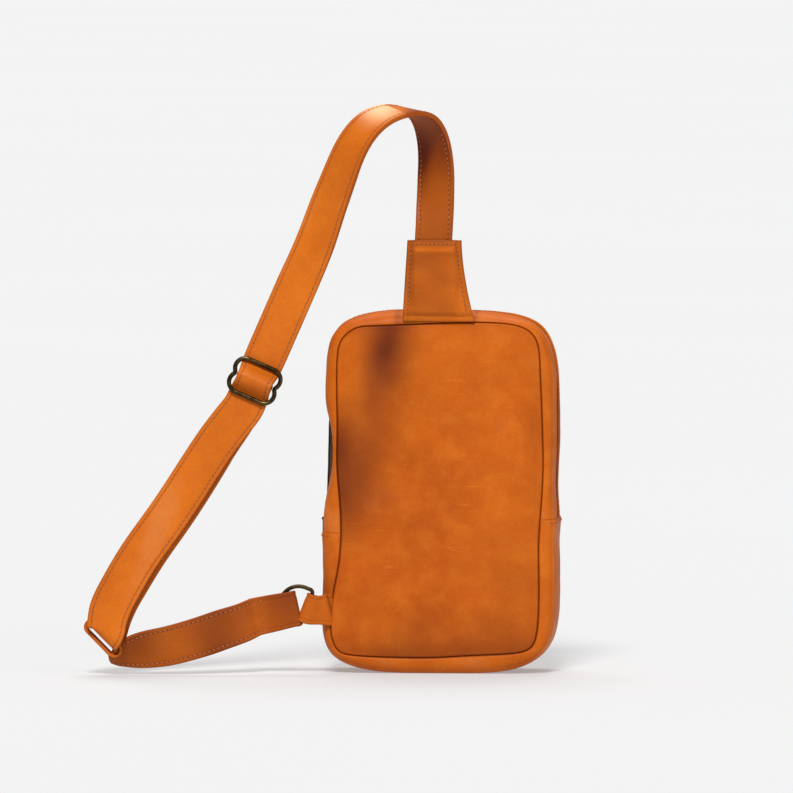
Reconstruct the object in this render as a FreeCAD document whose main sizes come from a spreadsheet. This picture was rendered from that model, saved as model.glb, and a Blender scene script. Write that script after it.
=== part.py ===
import FreeCAD, Part
import math
import os
import Sketcher

Vector = FreeCAD.Vector
Rotation = FreeCAD.Rotation
Placement = FreeCAD.Placement

doc = FreeCAD.newDocument("SlingBag")

# ---------------------------------------------------------------- driving sizes, mm
sizes = doc.addObject("Spreadsheet::Sheet", "Sizes")

DRIVING = [
    ("half_width", 84, "seam line of the panels, half the width"),
    ("seam_low", 8, "height of the bottom seam"),
    ("seam_high", 281.5, "height of the top seam"),
    ("low_corner", 26, "bottom corner radius of the seam"),
    ("high_corner", 38, "top corner radius of the seam"),
    ("half_depth", 35, "half the depth of the bag"),
    ("roll", 8, "radius of the gusset's rolled edge"),
    ("leather", 2, "thickness of panels and gusset"),
    ("cloth", 0.8, "thickness of lining and zipper tape"),
    ("joint_left", 113, "left seam between upper and lower gusset"),
    ("joint_right", 124, "the same seam on the right"),
    ("seam_gap", 0.4, "half the gap at a gusset seam"),
    ("zipper_gap", 7, "half the slot in the upper gusset"),
    ("tape_reach", 14, "how far the tape runs under the gusset"),
    ("tape_inner", 1.5, "tape edge nearest the teeth"),
    ("tooth_inner", 0.8, "teeth face nearest the middle"),
    ("tooth_low", 4.2, "teeth, inner face"),
    ("tooth_high", 6.4, "teeth, outer face"),
    ("stop_lift", 1, "from a joint up to the zipper stop"),
    ("chain_lift", 4.2, "from a joint up to the first tooth"),
    ("slider_height", 125, "slider when the bag is shut"),
    ("strap_width", 32, "width of the shoulder strap"),
    ("strap_leather", 1.9, "thickness of one strap layer"),
    ("tab_top", 346, "top of the anchor tab"),
    ("tab_low", 280.5, "bottom of the anchor tab"),
    ("tab_half_top", 21.5, "anchor tab, half its top width"),
    ("tab_half_low", 28.5, "anchor tab, half its bottom width"),
    ("tab_channel", 16.6, "half the width of the strap channel"),
    ("ring_wire", 1.6, "wire radius of the D-ring"),
    ("ring_half", 15, "half the length of the D-ring's bar"),
    ("ring_corner", 3, "corner radius beside the bar"),
    ("ring_side", 4, "straight side between corner and bow"),
    ("frame_wire", 1.8, "wire radius of the adjuster frame"),
    ("frame_bar", 14, "adjuster, centre to outer bar"),
    ("frame_flat", 11, "half the straight part of an outer bar"),
    ("frame_corner", 8, "adjuster corner radius"),
    ("bar_wire", 1.5, "radius of the adjuster's centre bar"),
    ("bar_half", 15.2, "half the length of the centre bar"),
    ("loop_band", 20, "width of the link loop's band"),
    ("loop_leather", 2.2, "thickness of the link loop"),
]
DERIVED = [
    ("flat_half", "=half_depth - roll"),
    ("inner_roll", "=roll - leather"),
    ("tape_high", "=inner_roll - 0.3"),
    ("tape_low", "=tape_high - cloth"),
    ("x_seam", "=-half_width"),
    ("x_roll", "=-half_width - roll"),
    ("x_inner", "=-half_width - inner_roll"),
    ("x_tape_high", "=-half_width - tape_high"),
    ("x_tape_low", "=-half_width - tape_low"),
    ("x_tooth_high", "=-half_width - tooth_high"),
    ("x_tooth_low", "=-half_width - tooth_low"),
    ("y_inner", "=flat_half + inner_roll"),
    ("y_tape_high", "=flat_half + tape_high"),
    ("y_tape_low", "=flat_half + tape_low"),
    ("lining_edge", "=tape_reach + 0.5"),
    ("upper_left", "=joint_left + seam_gap"),
    ("upper_right", "=joint_right + seam_gap"),
    ("lower_left", "=joint_left - seam_gap"),
    ("lower_right", "=joint_right - seam_gap"),
    ("chain_left", "=joint_left + chain_lift"),
    ("chain_right", "=joint_right + chain_lift"),
    ("x_low_corner", "=half_width - low_corner"),
    ("z_low_corner", "=seam_low + low_corner"),
    ("x_high_corner", "=half_width - high_corner"),
    ("z_high_corner", "=seam_high - high_corner"),
    ("panel_half", "=half_width - 0.1"),
    ("panel_low", "=seam_low + 0.1"),
    ("panel_high", "=seam_high - 0.1"),
    ("lining_half", "=half_width - 0.3"),
    ("lining_low", "=seam_low + 0.3"),
    ("lining_high", "=seam_high - 0.3"),
    ("panel_y", "=half_depth"),
    ("lining_y", "=half_depth - leather - 0.3"),
    ("tape_inner_clear", "=tape_inner - 0.1"),
]
row = 0
for alias, value, note in DRIVING:
    row += 1
    sizes.set("A%d" % row, note)
    sizes.set("B%d" % row, str(value))
    sizes.setAlias("B%d" % row, alias)
for alias, sum_of in DERIVED:
    row += 1
    sizes.set("B%d" % row, sum_of)
    sizes.setAlias("B%d" % row, alias)
doc.recompute()


def size(alias):
    """The value of an alias in the sheet; a leading minus turns its sign."""
    if alias.startswith("-"):
        return -float(sizes.get(alias[1:]))
    return float(sizes.get(alias))


def formula(alias):
    return "-Sizes." + alias[1:] if alias.startswith("-") else "Sizes." + alias


# ---------------------------------------------------------------- sketch helpers
def new_body(name, placement=None):
    body = doc.addObject("PartDesign::Body", name)
    body.Label = name
    if placement is not None:
        body.Placement = placement
    return body


def new_sketch(body, name, plane, lift=None):
    sketch = body.newObject("Sketcher::SketchObject", name)
    for feature in body.Origin.OriginFeatures:
        if feature.Role == plane:
            sketch.AttachmentSupport = [(feature, "")]
    sketch.MapMode = "FlatFace"
    if lift is not None:
        sketch.setExpression("AttachmentOffset.Base.z", lift)
    return sketch


def pin(sketch, piece, end, across, up):
    """Hold one point of a sketch piece at two sizes of the sheet."""
    for kind, alias in (("DistanceX", across), ("DistanceY", up)):
        number = sketch.addConstraint(
            Sketcher.Constraint(kind, -1, 1, piece, end, size(alias))
        )
        sketch.setExpression("Constraints[%d]" % number, formula(alias))


def pinned_line(sketch, start, end):
    a = Vector(size(start[0]), size(start[1]), 0)
    b = Vector(size(end[0]), size(end[1]), 0)
    piece = sketch.addGeometry(Part.LineSegment(a, b))
    pin(sketch, piece, 1, *start)
    pin(sketch, piece, 2, *end)
    return piece


def arc_between(sketch, before, after, centre):
    """A quarter arc about a pinned centre, from the end of one line to the next."""
    a = sketch.Geometry[before].EndPoint
    b = sketch.Geometry[after].StartPoint
    hub = Vector(size(centre[0]), size(centre[1]), 0)
    turns_left = (a - hub).cross(b - hub).z > 0
    ends = (a, b) if turns_left else (b, a)
    angles = [math.atan2(point.y - hub.y, point.x - hub.x) for point in ends]
    round_hub = Part.Circle(hub, Vector(0, 0, 1), (a - hub).Length)
    piece = sketch.addGeometry(
        Part.ArcOfCircle(round_hub, angles[0], angles[0] + math.pi / 2)
    )
    first, last = (1, 2) if turns_left else (2, 1)
    sketch.addConstraint(Sketcher.Constraint("Coincident", before, 2, piece, first))
    pin(sketch, piece, 3, *centre)
    level = "Horizontal" if abs(b.y - hub.y) < 1e-6 else "Vertical"
    sketch.addConstraint(Sketcher.Constraint(level, piece, last, piece, 3))
    return piece


def closed_outline(sketch, corners):
    for n in range(len(corners)):
        pinned_line(sketch, corners[n], corners[(n + 1) % len(corners)])


def swept(body, spine, profile):
    pipe = body.newObject("PartDesign::AdditivePipe", body.Name + "Pipe")
    pipe.Profile = (profile, [""])
    count = len(spine.Shape.Edges)
    pipe.Spine = (spine, ["Edge%d" % (n + 1) for n in range(count)])
    return pipe


# ---------------------------------------------------------------- panels and lining
def rounded_plate(name, half, low, high, face, thickness, back_side):
    """A flat panel with two corner radii; back_side is the side the wearer touches."""
    body = new_body(name)
    lift = "Sizes.%s" % face if back_side else "-Sizes.%s" % face
    sketch = new_sketch(body, name + "Outline", "XZ_Plane", lift)
    closed_outline(
        sketch,
        [("-" + half, low), (half, low), (half, high), ("-" + half, high)],
    )
    pad = body.newObject("PartDesign::Pad", name + "Pad")
    pad.Profile = (sketch, [""])
    pad.setExpression("Length", "Sizes." + thickness)
    pad.Reversed = back_side
    doc.recompute()
    for corner, radius in ((low, "low_corner"), (high, "high_corner")):
        base = body.Tip
        picked = []
        for n, edge in enumerate(base.Shape.Edges):
            points = [v.Point for v in edge.Vertexes]
            level = all(abs(p.z - size(corner)) < 0.01 for p in points)
            along_y = len(points) == 2 and abs(points[0].x - points[1].x) < 0.01
            if level and along_y:
                picked.append("Edge%d" % (n + 1))
        rounding = body.newObject("PartDesign::Fillet", name + radius)
        rounding.Base = (base, picked)
        rounding.setExpression("Radius", "Sizes." + radius)
        doc.recompute()
    return body


nodes = {}

for side, back_side in (("back", True), ("front", False)):
    nodes[side + "_panel"] = rounded_plate(
        side + "_panel", "panel_half", "panel_low", "panel_high",
        "panel_y", "leather", back_side,
    )
    nodes["lining_" + side] = rounded_plate(
        "lining_" + side, "lining_half", "lining_low", "lining_high",
        "lining_y", "cloth", back_side,
    )


# ---------------------------------------------------------------- gusset strips
def upper_spine(body, foot="upper"):
    """The seam line from a foot on the left, over the top, to its match on the right."""
    spine = new_sketch(body, body.Name + "Path", "XZ_Plane")
    left = pinned_line(spine, ("x_seam", foot + "_left"), ("x_seam", "z_high_corner"))
    top = pinned_line(
        spine, ("-x_high_corner", "seam_high"), ("x_high_corner", "seam_high")
    )
    right = pinned_line(
        spine, ("half_width", "z_high_corner"), ("half_width", foot + "_right")
    )
    arc_between(spine, left, top, ("-x_high_corner", "z_high_corner"))
    arc_between(spine, top, right, ("x_high_corner", "z_high_corner"))
    return spine


def lower_spine(body):
    """The seam line from the left joint under the base to the right joint."""
    spine = new_sketch(body, body.Name + "Path", "XZ_Plane")
    left = pinned_line(spine, ("x_seam", "lower_left"), ("x_seam", "z_low_corner"))
    base = pinned_line(
        spine, ("-x_low_corner", "seam_low"), ("x_low_corner", "seam_low")
    )
    right = pinned_line(
        spine, ("half_width", "z_low_corner"), ("half_width", "lower_right")
    )
    arc_between(spine, left, base, ("-x_low_corner", "z_low_corner"))
    arc_between(spine, base, right, ("x_low_corner", "z_low_corner"))
    return spine


def half_strip(name, outer_x, inner_x, outer_y, inner_y, edge, sign):
    """An upper strip: one rolled edge at the panel, one free edge beside the zipper."""
    body = new_body(name)
    spine = upper_spine(body)
    section = new_sketch(body, name + "Section", "XY_Plane", "Sizes.upper_left")
    seam_end = [("x_seam", sign + outer_y), ("x_seam", sign + inner_y)]
    rim = pinned_line(section, (inner_x, sign + edge), (outer_x, sign + edge))
    outer = pinned_line(section, (outer_x, sign + edge), (outer_x, sign + "flat_half"))
    seam = pinned_line(section, *seam_end)
    inner = pinned_line(section, (inner_x, sign + "flat_half"), (inner_x, sign + edge))
    centre = ("x_seam", sign + "flat_half")
    arc_between(section, outer, seam, centre)
    arc_between(section, seam, inner, centre)
    doc.recompute()
    swept(body, spine, section)
    return body


def full_strip(name, outer_x, inner_x, outer_y, inner_y):
    """The lower strip: rolled at both panels, flat between, and the bag stands on it."""
    body = new_body(name)
    spine = lower_spine(body)
    section = new_sketch(body, name + "Section", "XY_Plane", "Sizes.lower_left")
    outer = pinned_line(section, (outer_x, "-flat_half"), (outer_x, "flat_half"))
    far = pinned_line(section, ("x_seam", outer_y), ("x_seam", inner_y))
    inner = pinned_line(section, (inner_x, "flat_half"), (inner_x, "-flat_half"))
    near = pinned_line(section, ("x_seam", "-" + inner_y), ("x_seam", "-" + outer_y))
    far_centre = ("x_seam", "flat_half")
    near_centre = ("x_seam", "-flat_half")
    arc_between(section, outer, far, far_centre)
    arc_between(section, far, inner, far_centre)
    arc_between(section, inner, near, near_centre)
    arc_between(section, near, outer, near_centre)
    doc.recompute()
    swept(body, spine, section)
    return body


def band_along(name, foot, low, high, inner, outer):
    """A plain band swept along the zipper, for the tapes and the rows of teeth."""
    body = new_body(name)
    spine = upper_spine(body, foot)
    section = new_sketch(body, name + "Section", "XY_Plane", "Sizes.%s_left" % foot)
    closed_outline(section, [(high, inner), (low, inner), (low, outer), (high, outer)])
    doc.recompute()
    swept(body, spine, section)
    return body


LEATHER_SECTION = ("x_roll", "x_inner", "half_depth", "y_inner")
LINING_SECTION = ("x_tape_high", "x_tape_low", "y_tape_high", "y_tape_low")
for side, sign in (("back", "-"), ("front", "")):
    nodes["upper_gusset_" + side] = half_strip(
        "upper_gusset_" + side, *LEATHER_SECTION, "zipper_gap", sign
    )
    nodes["lining_upper_" + side] = half_strip(
        "lining_upper_" + side, *LINING_SECTION, "lining_edge", sign
    )
    nodes["zipper_tape_" + side] = band_along(
        "zipper_tape_" + side, "upper", "x_tape_low", "x_tape_high",
        sign + "tape_inner", sign + "tape_reach",
    )
    nodes["zipper_teeth_" + side] = band_along(
        "zipper_teeth_" + side, "chain", "x_tooth_low", "x_tooth_high",
        sign + "tooth_inner", sign + "tape_inner_clear",
    )
nodes["lower_gusset"] = full_strip("lower_gusset", *LEATHER_SECTION)
nodes["lining_lower"] = full_strip("lining_lower", *LINING_SECTION)


# ---------------------------------------------------------------- simple solids
def box(name, corner, extent):
    """A block from its lowest corner; each entry is a formula on the sheet."""
    solid = doc.addObject("Part::Box", name)
    for key, text in zip(("Length", "Width", "Height"), extent):
        solid.setExpression(key, text)
    for key, text in zip("xyz", corner):
        solid.setExpression("Placement.Base." + key, text)
    return solid


def rod(name, centre, radius, length, axis):
    """A round bar centred on a point, along a unit axis."""
    solid = doc.addObject("Part::Cylinder", name)
    solid.setExpression("Radius", radius)
    solid.setExpression("Height", length)
    doc.recompute()
    start = centre - axis * (float(solid.Height) / 2)
    solid.Placement = Placement(start, Rotation(Vector(0, 0, 1), axis))
    return solid


def joined(name, solids):
    whole = doc.addObject("Part::MultiFuse", name)
    whole.Shapes = solids
    whole.Label = name
    return whole


def cut(name, base, tool):
    rest = doc.addObject("Part::Cut", name)
    rest.Base = base
    rest.Tool = tool
    rest.Label = name
    return rest


Y_AXIS = Vector(0, 1, 0)
for end, side_x in (
    ("left", "-Sizes.half_width - 7.4"), ("right", "Sizes.half_width + 4.0"),
):
    nodes["zipper_stop_" + end] = box(
        "zipper_stop_" + end,
        (side_x, "-1.4 mm", "Sizes.joint_%s + Sizes.stop_lift" % end),
        ("3.4 mm", "2.8 mm", "3 mm"),
    )

slider_x = -size("half_width")
slider_z = size("slider_height")
outer_plate = box(
    "SliderOuter",
    ("-Sizes.half_width - 7.9", "-4.4 mm", "Sizes.slider_height - 5"),
    ("1.2 mm", "8.8 mm", "10 mm"),
)
inner_plate = box(
    "SliderInner",
    ("-Sizes.half_width - 3.9", "-4.4 mm", "Sizes.slider_height - 5"),
    ("1.2 mm", "8.8 mm", "10 mm"),
)
bridge = box(
    "SliderBridge",
    ("-Sizes.half_width - 7", "-0.5 mm", "Sizes.slider_height - 5"),
    ("3.5 mm", "1 mm", "3 mm"),
)
lug_x = slider_x - 9.4
lug_z = slider_z - 3
lug_left = box(
    "LugNear",
    ("-Sizes.half_width - 10.4", "-3.9 mm", "Sizes.slider_height - 3.9"),
    ("3 mm", "0.9 mm", "1.8 mm"),
)
lug_right = box(
    "LugFar",
    ("-Sizes.half_width - 10.4", "3 mm", "Sizes.slider_height - 3.9"),
    ("3 mm", "0.9 mm", "1.8 mm"),
)
lug_bar = rod("LugBar", Vector(lug_x, 0, lug_z), "0.6 mm", "7.6 mm", Y_AXIS)
nodes["zip_slider"] = joined(
    "zip_slider", [outer_plate, inner_plate, bridge, lug_left, lug_right, lug_bar]
)

pull_eye = rod("PullEye", Vector(lug_x, 0, lug_z), "1.2 mm", "5.4 mm", Y_AXIS)
pull_tail = box(
    "PullTail",
    ("-Sizes.half_width - 10", "-2.7 mm", "Sizes.slider_height - 24"),
    ("1.2 mm", "5.4 mm", "21 mm"),
)
pull_tip = rod(
    "PullTip",
    Vector(lug_x, 0, slider_z - 24),
    "2.7 mm", "1.2 mm", Vector(1, 0, 0),
)
pull_bore = rod("PullBore", Vector(lug_x, 0, lug_z), "0.65 mm", "9 mm", Y_AXIS)
nodes["zip_pull"] = cut(
    "zip_pull", joined("PullBlank", [pull_eye, pull_tail, pull_tip]), pull_bore
)


# ---------------------------------------------------------------- strap frames
def frame_at(origin, across, along, out):
    """A placement from its origin and its local X, Y and Z directions."""
    return Placement(origin, Rotation(across, along, out, "ZXY"))


LEAN = math.radians(21)
# the D-ring's bar: the strap swings about it, and it points at the anchor tab's base
BAR_MIDDLE = Vector(-103.8, -39.3, 52.4)
BAR_UP = Vector(math.sin(LEAN), 0, math.cos(LEAN))
RING_OUT = Vector(math.cos(LEAN), 0, -math.sin(LEAN))
TO_WEARER = Vector(0, -1, 0)
ring_frame = frame_at(BAR_MIDDLE, RING_OUT, BAR_UP, TO_WEARER)

# the straight run of strap that the adjuster slides on; it points from link to shoulder
RUN_MIDDLE = Vector(-143, -64, 235)
RUN_UP = Vector(37, 5, 85)
RUN_UP.normalize()
RUN_OUT = RUN_UP.cross(Vector(-0.9168, 0, 0.3992))
RUN_OUT.normalize()
RUN_ACROSS = RUN_UP.cross(RUN_OUT)
FRAME_OUT = size("frame_wire") + size("strap_leather") + 0.7
adjuster_frame = frame_at(
    RUN_MIDDLE + RUN_OUT * FRAME_OUT, RUN_ACROSS, RUN_UP, RUN_OUT
)
run_frame = frame_at(RUN_MIDDLE, RUN_ACROSS, RUN_UP, RUN_OUT)


# ---------------------------------------------------------------- wire fittings
def wire_round(body, spine, plane, across, up, radius):
    section = new_sketch(body, body.Name + "Wire", plane)
    place = Vector(across, up, 0)
    piece = section.addGeometry(Part.Circle(place, Vector(0, 0, 1), size(radius)))
    section.addConstraint(
        Sketcher.Constraint("DistanceX", -1, 1, piece, 3, across)
    )
    section.addConstraint(
        Sketcher.Constraint("DistanceY", -1, 1, piece, 3, up)
    )
    number = section.addConstraint(
        Sketcher.Constraint("Radius", piece, size(radius))
    )
    section.setExpression("Constraints[%d]" % number, formula(radius))
    doc.recompute()
    swept(body, spine, section)
    return body


def add_path(sketch, pieces):
    """Lines and arcs end to end; the first point and the last are the same."""
    for piece in pieces:
        number = sketch.addGeometry(piece)
        sketch.addConstraint(Sketcher.Constraint("Block", number))


def turn_arc(centre, radius, start, end):
    """An arc by its start, middle and end angles in degrees."""
    points = []
    for degrees in (start, (start + end) / 2, end):
        angle = math.radians(degrees)
        points.append(
            centre + Vector(radius * math.cos(angle), radius * math.sin(angle), 0)
        )
    return Part.Arc(*points)


ring = new_body("d_ring", ring_frame)
ring_path = new_sketch(ring, "d_ring_path", "XY_Plane")
half, corner, side = size("ring_half"), size("ring_corner"), size("ring_side")
bar_end = half - corner
add_path(
    ring_path,
    [
        Part.LineSegment(Vector(0, 0, 0), Vector(0, bar_end, 0)),
        turn_arc(Vector(-corner, bar_end, 0), corner, 0, 90),
        Part.LineSegment(Vector(-corner, half, 0), Vector(-corner - side, half, 0)),
        turn_arc(Vector(-corner - side, 0, 0), half, 90, 270),
        Part.LineSegment(Vector(-corner - side, -half, 0), Vector(-corner, -half, 0)),
        turn_arc(Vector(-corner, -bar_end, 0), corner, 270, 360),
        Part.LineSegment(Vector(0, -bar_end, 0), Vector(0, 0, 0)),
    ],
)
nodes["d_ring"] = wire_round(ring, ring_path, "XZ_Plane", 0, 0, "ring_wire")

frame = new_body("adjuster_frame", adjuster_frame)
frame_path = new_sketch(frame, "adjuster_path", "XY_Plane")
bar, flat, bend = size("frame_bar"), size("frame_flat"), size("frame_corner")
pinch = 33
waist = (bar - bend) / math.sin(math.radians(pinch)) - bend
waist_x = flat + (bend + waist) * math.cos(math.radians(pinch))
add_path(
    frame_path,
    [
        Part.LineSegment(Vector(0, bar, 0), Vector(flat, bar, 0)),
        turn_arc(Vector(flat, bar - bend, 0), bend, 90, -pinch),
        turn_arc(Vector(waist_x, 0, 0), waist, 180 - pinch, 180 + pinch),
        turn_arc(Vector(flat, bend - bar, 0), bend, pinch, -90),
        Part.LineSegment(Vector(flat, -bar, 0), Vector(-flat, -bar, 0)),
        turn_arc(Vector(-flat, bend - bar, 0), bend, -90, -180 - pinch),
        turn_arc(Vector(-waist_x, 0, 0), waist, -pinch, pinch),
        turn_arc(Vector(-flat, bar - bend, 0), bend, 180 + pinch, 90),
        Part.LineSegment(Vector(-flat, bar, 0), Vector(0, bar, 0)),
    ],
)
nodes["adjuster_frame"] = wire_round(
    frame, frame_path, "YZ_Plane", bar, 0, "frame_wire"
)

centre_bar = rod(
    "adjuster_bar", adjuster_frame.Base, "Sizes.bar_wire", "2 * Sizes.bar_half",
    RUN_ACROSS,
)
centre_bar.Label = "adjuster_bar"
nodes["adjuster_bar"] = centre_bar


# ---------------------------------------------------------------- leather shaped in code
def held(name, shape):
    """A leather piece whose twist no sketch can hold, with its placement set last."""
    piece = doc.addObject("Part::Feature", name)
    place = shape.Placement
    piece.Shape = shape
    piece.Label = name
    piece.Placement = place
    return piece


def slab(placement, outline, hole, low, high):
    """A profile in a frame's local plane, with a hole or none, drawn out straight."""
    solid = Part.Face(Part.Wire(outline)).extrude(high - low)
    if hole is not None:
        solid = solid.cut(Part.Face(Part.Wire(hole)).extrude(high - low))
    solid.translate(low)
    solid.Placement = placement.multiply(solid.Placement)
    return solid


def teardrop(centre, big, tail, small):
    """Edges round a big circle and a small one, with straight sides, in a plane."""
    reach = (tail - centre).Length
    toward = (tail - centre).normalize()
    normal = Vector(0, 0, 1) if abs(toward.z) < 1e-9 else Vector(1, 0, 0)
    if abs(toward.y) < 1e-9:
        normal = Vector(0, 1, 0)
    side = normal.cross(toward)
    slope = math.asin((big - small) / reach)
    edges = []
    touch = []
    for turn in (1, -1):
        way = toward * math.sin(slope) + side * (turn * math.cos(slope))
        touch.append((centre + way * big, tail + way * small))
    edges.append(Part.LineSegment(touch[0][0], touch[0][1]).toShape())
    edges.append(Part.Arc(touch[0][1], tail + toward * small, touch[1][1]).toShape())
    edges.append(Part.LineSegment(touch[1][1], touch[1][0]).toShape())
    edges.append(Part.Arc(touch[1][0], centre - toward * big, touch[0][0]).toShape())
    return edges


leather = size("strap_leather")
half_strap = size("strap_width") / 2
LAYERS = {"face": (0.05, 0.05 + leather), "back": (-0.05 - leather, -0.05)}


def rectangle(middle, across, out, half_wide, low, high):
    corners = [
        middle + across * a + out * b
        for a, b in (
            (-half_wide, low), (half_wide, low), (half_wide, high), (-half_wide, high),
        )
    ]
    return Part.makePolygon(corners + corners[:1])


def blend_at(knots, values, where):
    """The vector between the two stations on either side of a parameter."""
    for n in range(len(knots) - 1):
        if where <= knots[n + 1] or n == len(knots) - 2:
            share = (where - knots[n]) / (knots[n + 1] - knots[n])
            share = min(max(share, 0), 1)
            return values[n] * (1 - share) + values[n + 1] * share


def ribbon(stations, count, low, high, start=None, end=None):
    """A strap layer through stations (middle, direction across, half width)."""
    curve = Part.BSplineCurve()
    curve.interpolate([Vector(*s[0]) for s in stations])
    knots = [curve.parameter(Vector(*s[0])) for s in stations]
    widths = [Vector(*s[1]).normalize() * s[2] for s in stations]
    first, last = curve.FirstParameter, curve.LastParameter
    wires = []
    for n in range(count):
        where = first + (last - first) * n / (count - 1)
        along = curve.tangent(where)[0]
        across = blend_at(knots, widths, where)
        half_wide = across.Length
        across = Vector(across).normalize()
        out = along.cross(across).normalize()
        if n == 0 and start is not None:
            across, out = start
        if n == count - 1 and end is not None:
            across, out = end
        wires.append(rectangle(curve.value(where), across, out, half_wide, low, high))
    return Part.makeLoft(wires, True, False)


# stations from the anchor tab over the shoulder to the straight run
TAB_Y = -39.3
RUN_TOP = run_frame.multVec(Vector(0, 84, 0))
across_run = tuple(RUN_ACROSS)
ARCH = [
    ((-3.2, TAB_Y, 300), (1, 0, 0)),
    ((-3.2, TAB_Y, 312), (1, 0, 0)),
    ((-3.2, TAB_Y, 324), (1, 0, 0)),
    ((-3.2, TAB_Y, 336), (1, 0, 0)),
    ((-3.2, TAB_Y, 348), (1, 0, 0)),
    ((-3.0, -38.3, 359), (0.99, -0.10, 0.02)),
    ((-2.2, -35.5, 372), (0.97, -0.23, 0.04)),
    ((-1.3, -30.0, 398), (0.89, -0.45, 0.09)),
    ((-4.1, -29.7, 424), (0.78, -0.62, 0.08)),
    ((-14.7, -39.2, 445), (0.67, -0.74, -0.02)),
    ((-33.3, -55.0, 450.5), (0.62, -0.76, -0.19)),
    ((-53.2, -67.0, 442), (0.64, -0.71, -0.30)),
    ((-67.9, -70.8, 421.6), (0.69, -0.63, -0.35)),
    ((-77.5, -68.0, 397.3), (0.76, -0.53, -0.37)),
    ((-86.5, -63.5, 372.7), (0.83, -0.42, -0.37)),
    ((-96.0, -60.5, 345), (0.88, -0.28, -0.38)),
    (tuple(RUN_TOP), across_run),
]
arch_stations = [(p, w, half_strap) for p, w in ARCH]
for layer, (low, high) in LAYERS.items():
    name = "strap_%s_upper" % layer
    # in the tab the face layer is the far one: the strap turns over at the shoulder
    nodes[name] = held(
        name,
        ribbon(
            arch_stations, 40, low, high,
            start=(Vector(1, 0, 0), Vector(0, 1, 0)), end=(RUN_ACROSS, RUN_OUT),
        ),
    )

# the straight run, lifted over the adjuster's centre bar
END_FOLD = 2.85
BAR_CLEAR = 1
LIFT = FRAME_OUT + END_FOLD + BAR_CLEAR + leather + 0.05
REACH = size("frame_bar") - 1.7


def lifted(offset, samples=16):
    """The weave's curve at an offset from the strap's middle, lower end first."""
    points = []
    for n in range(samples + 1):
        y = -REACH + 2 * REACH * n / samples
        rise = LIFT / 2 * (1 + math.cos(math.pi * y / REACH))
        slope = -LIFT / 2 * math.pi / REACH * math.sin(math.pi * y / REACH)
        stretch = math.hypot(1, slope)
        points.append(
            Vector(0, y - offset * slope / stretch, rise + offset / stretch)
        )
    curve = Part.BSplineCurve()
    curve.interpolate(
        Points=points, InitialTangent=Vector(0, 1, 0), FinalTangent=Vector(0, 1, 0)
    )
    return curve.toShape()


RUN_LOW, RUN_HIGH = -22, 84
for layer, (low, high) in LAYERS.items():
    edges = []
    for offset in (low, high):
        edges.append(
            Part.LineSegment(
                Vector(0, RUN_LOW, offset), Vector(0, -REACH, offset)
            ).toShape()
        )
        edges.append(lifted(offset))
        edges.append(
            Part.LineSegment(
                Vector(0, REACH, offset), Vector(0, RUN_HIGH - 0.2, offset)
            ).toShape()
        )
    for y in (RUN_LOW, RUN_HIGH - 0.2):
        edges.append(Part.LineSegment(Vector(0, y, low), Vector(0, y, high)).toShape())
    outline = Part.__sortEdges__(edges)
    name = "strap_%s_run" % layer
    nodes[name] = held(
        name,
        slab(
            run_frame, outline, None,
            Vector(-half_strap, 0, 0), Vector(half_strap, 0, 0),
        ),
    )

# below the adjuster: the leg down to the link, the fold through the link, and back up
FOLD_LEAN = math.radians(45.5)
FOLD_ACROSS = Vector(math.cos(FOLD_LEAN), 0, -math.sin(FOLD_LEAN))
FOLD_DOWN = Vector(-math.sin(FOLD_LEAN), 0, -math.cos(FOLD_LEAN))
LINK_MIDDLE = Vector(-267.1, -62, 30.1)
half_gap = size("loop_band") / 2 + 0.6
middle_out = half_gap + leather + 0.05
FOLD_DEPTH = 2 * leather + 0.1 + 1
leg_end = LINK_MIDDLE - FOLD_DOWN * FOLD_DEPTH + TO_WEARER * middle_out
return_start = LINK_MIDDLE - FOLD_DOWN * FOLD_DEPTH - TO_WEARER * middle_out
RUN_END = run_frame.multVec(Vector(0, RUN_LOW - 0.2, 0))
LEG = [
    (tuple(RUN_END), across_run),
    ((-171.0, -66.5, 190), (0.86, 0, -0.51)),
    ((-193.7, -68.5, 155.7), (0.84, 0, -0.55)),
    ((-215.6, -70.5, 122.9), (0.84, 0, -0.55)),
    ((-236.0, -72.0, 94.0), (0.86, 0, -0.51)),
    ((-250.5, -73.2, 69.2), (0.90, 0, -0.43)),
    ((-258.5, -73.9, 52.0), (0.86, 0, -0.51)),
    (tuple(leg_end), tuple(FOLD_ACROSS)),
]
RETURN_TOP = run_frame.multVec(Vector(0, -60, -5.0))
RETURN_LAST = run_frame.multVec(Vector(0, -59.7, -5.0))
RETURN_ACROSS = Vector(0.86, 0, -0.51).normalize()
RETURN_OUT = RUN_UP.cross(RETURN_ACROSS).normalize()
BACK_LEG = [
    (tuple(return_start), tuple(FOLD_ACROSS)),
    ((-256.5, -50.4, 52.0), (0.86, 0, -0.51)),
    ((-247.0, -51.2, 70.0), (0.90, 0, -0.43)),
    ((-231.0, -53.0, 96.0), (0.86, 0, -0.51)),
    ((-210.0, -55.0, 126.0), (0.84, 0, -0.55)),
    (tuple(RETURN_TOP), tuple(RETURN_ACROSS)),
]


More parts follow.
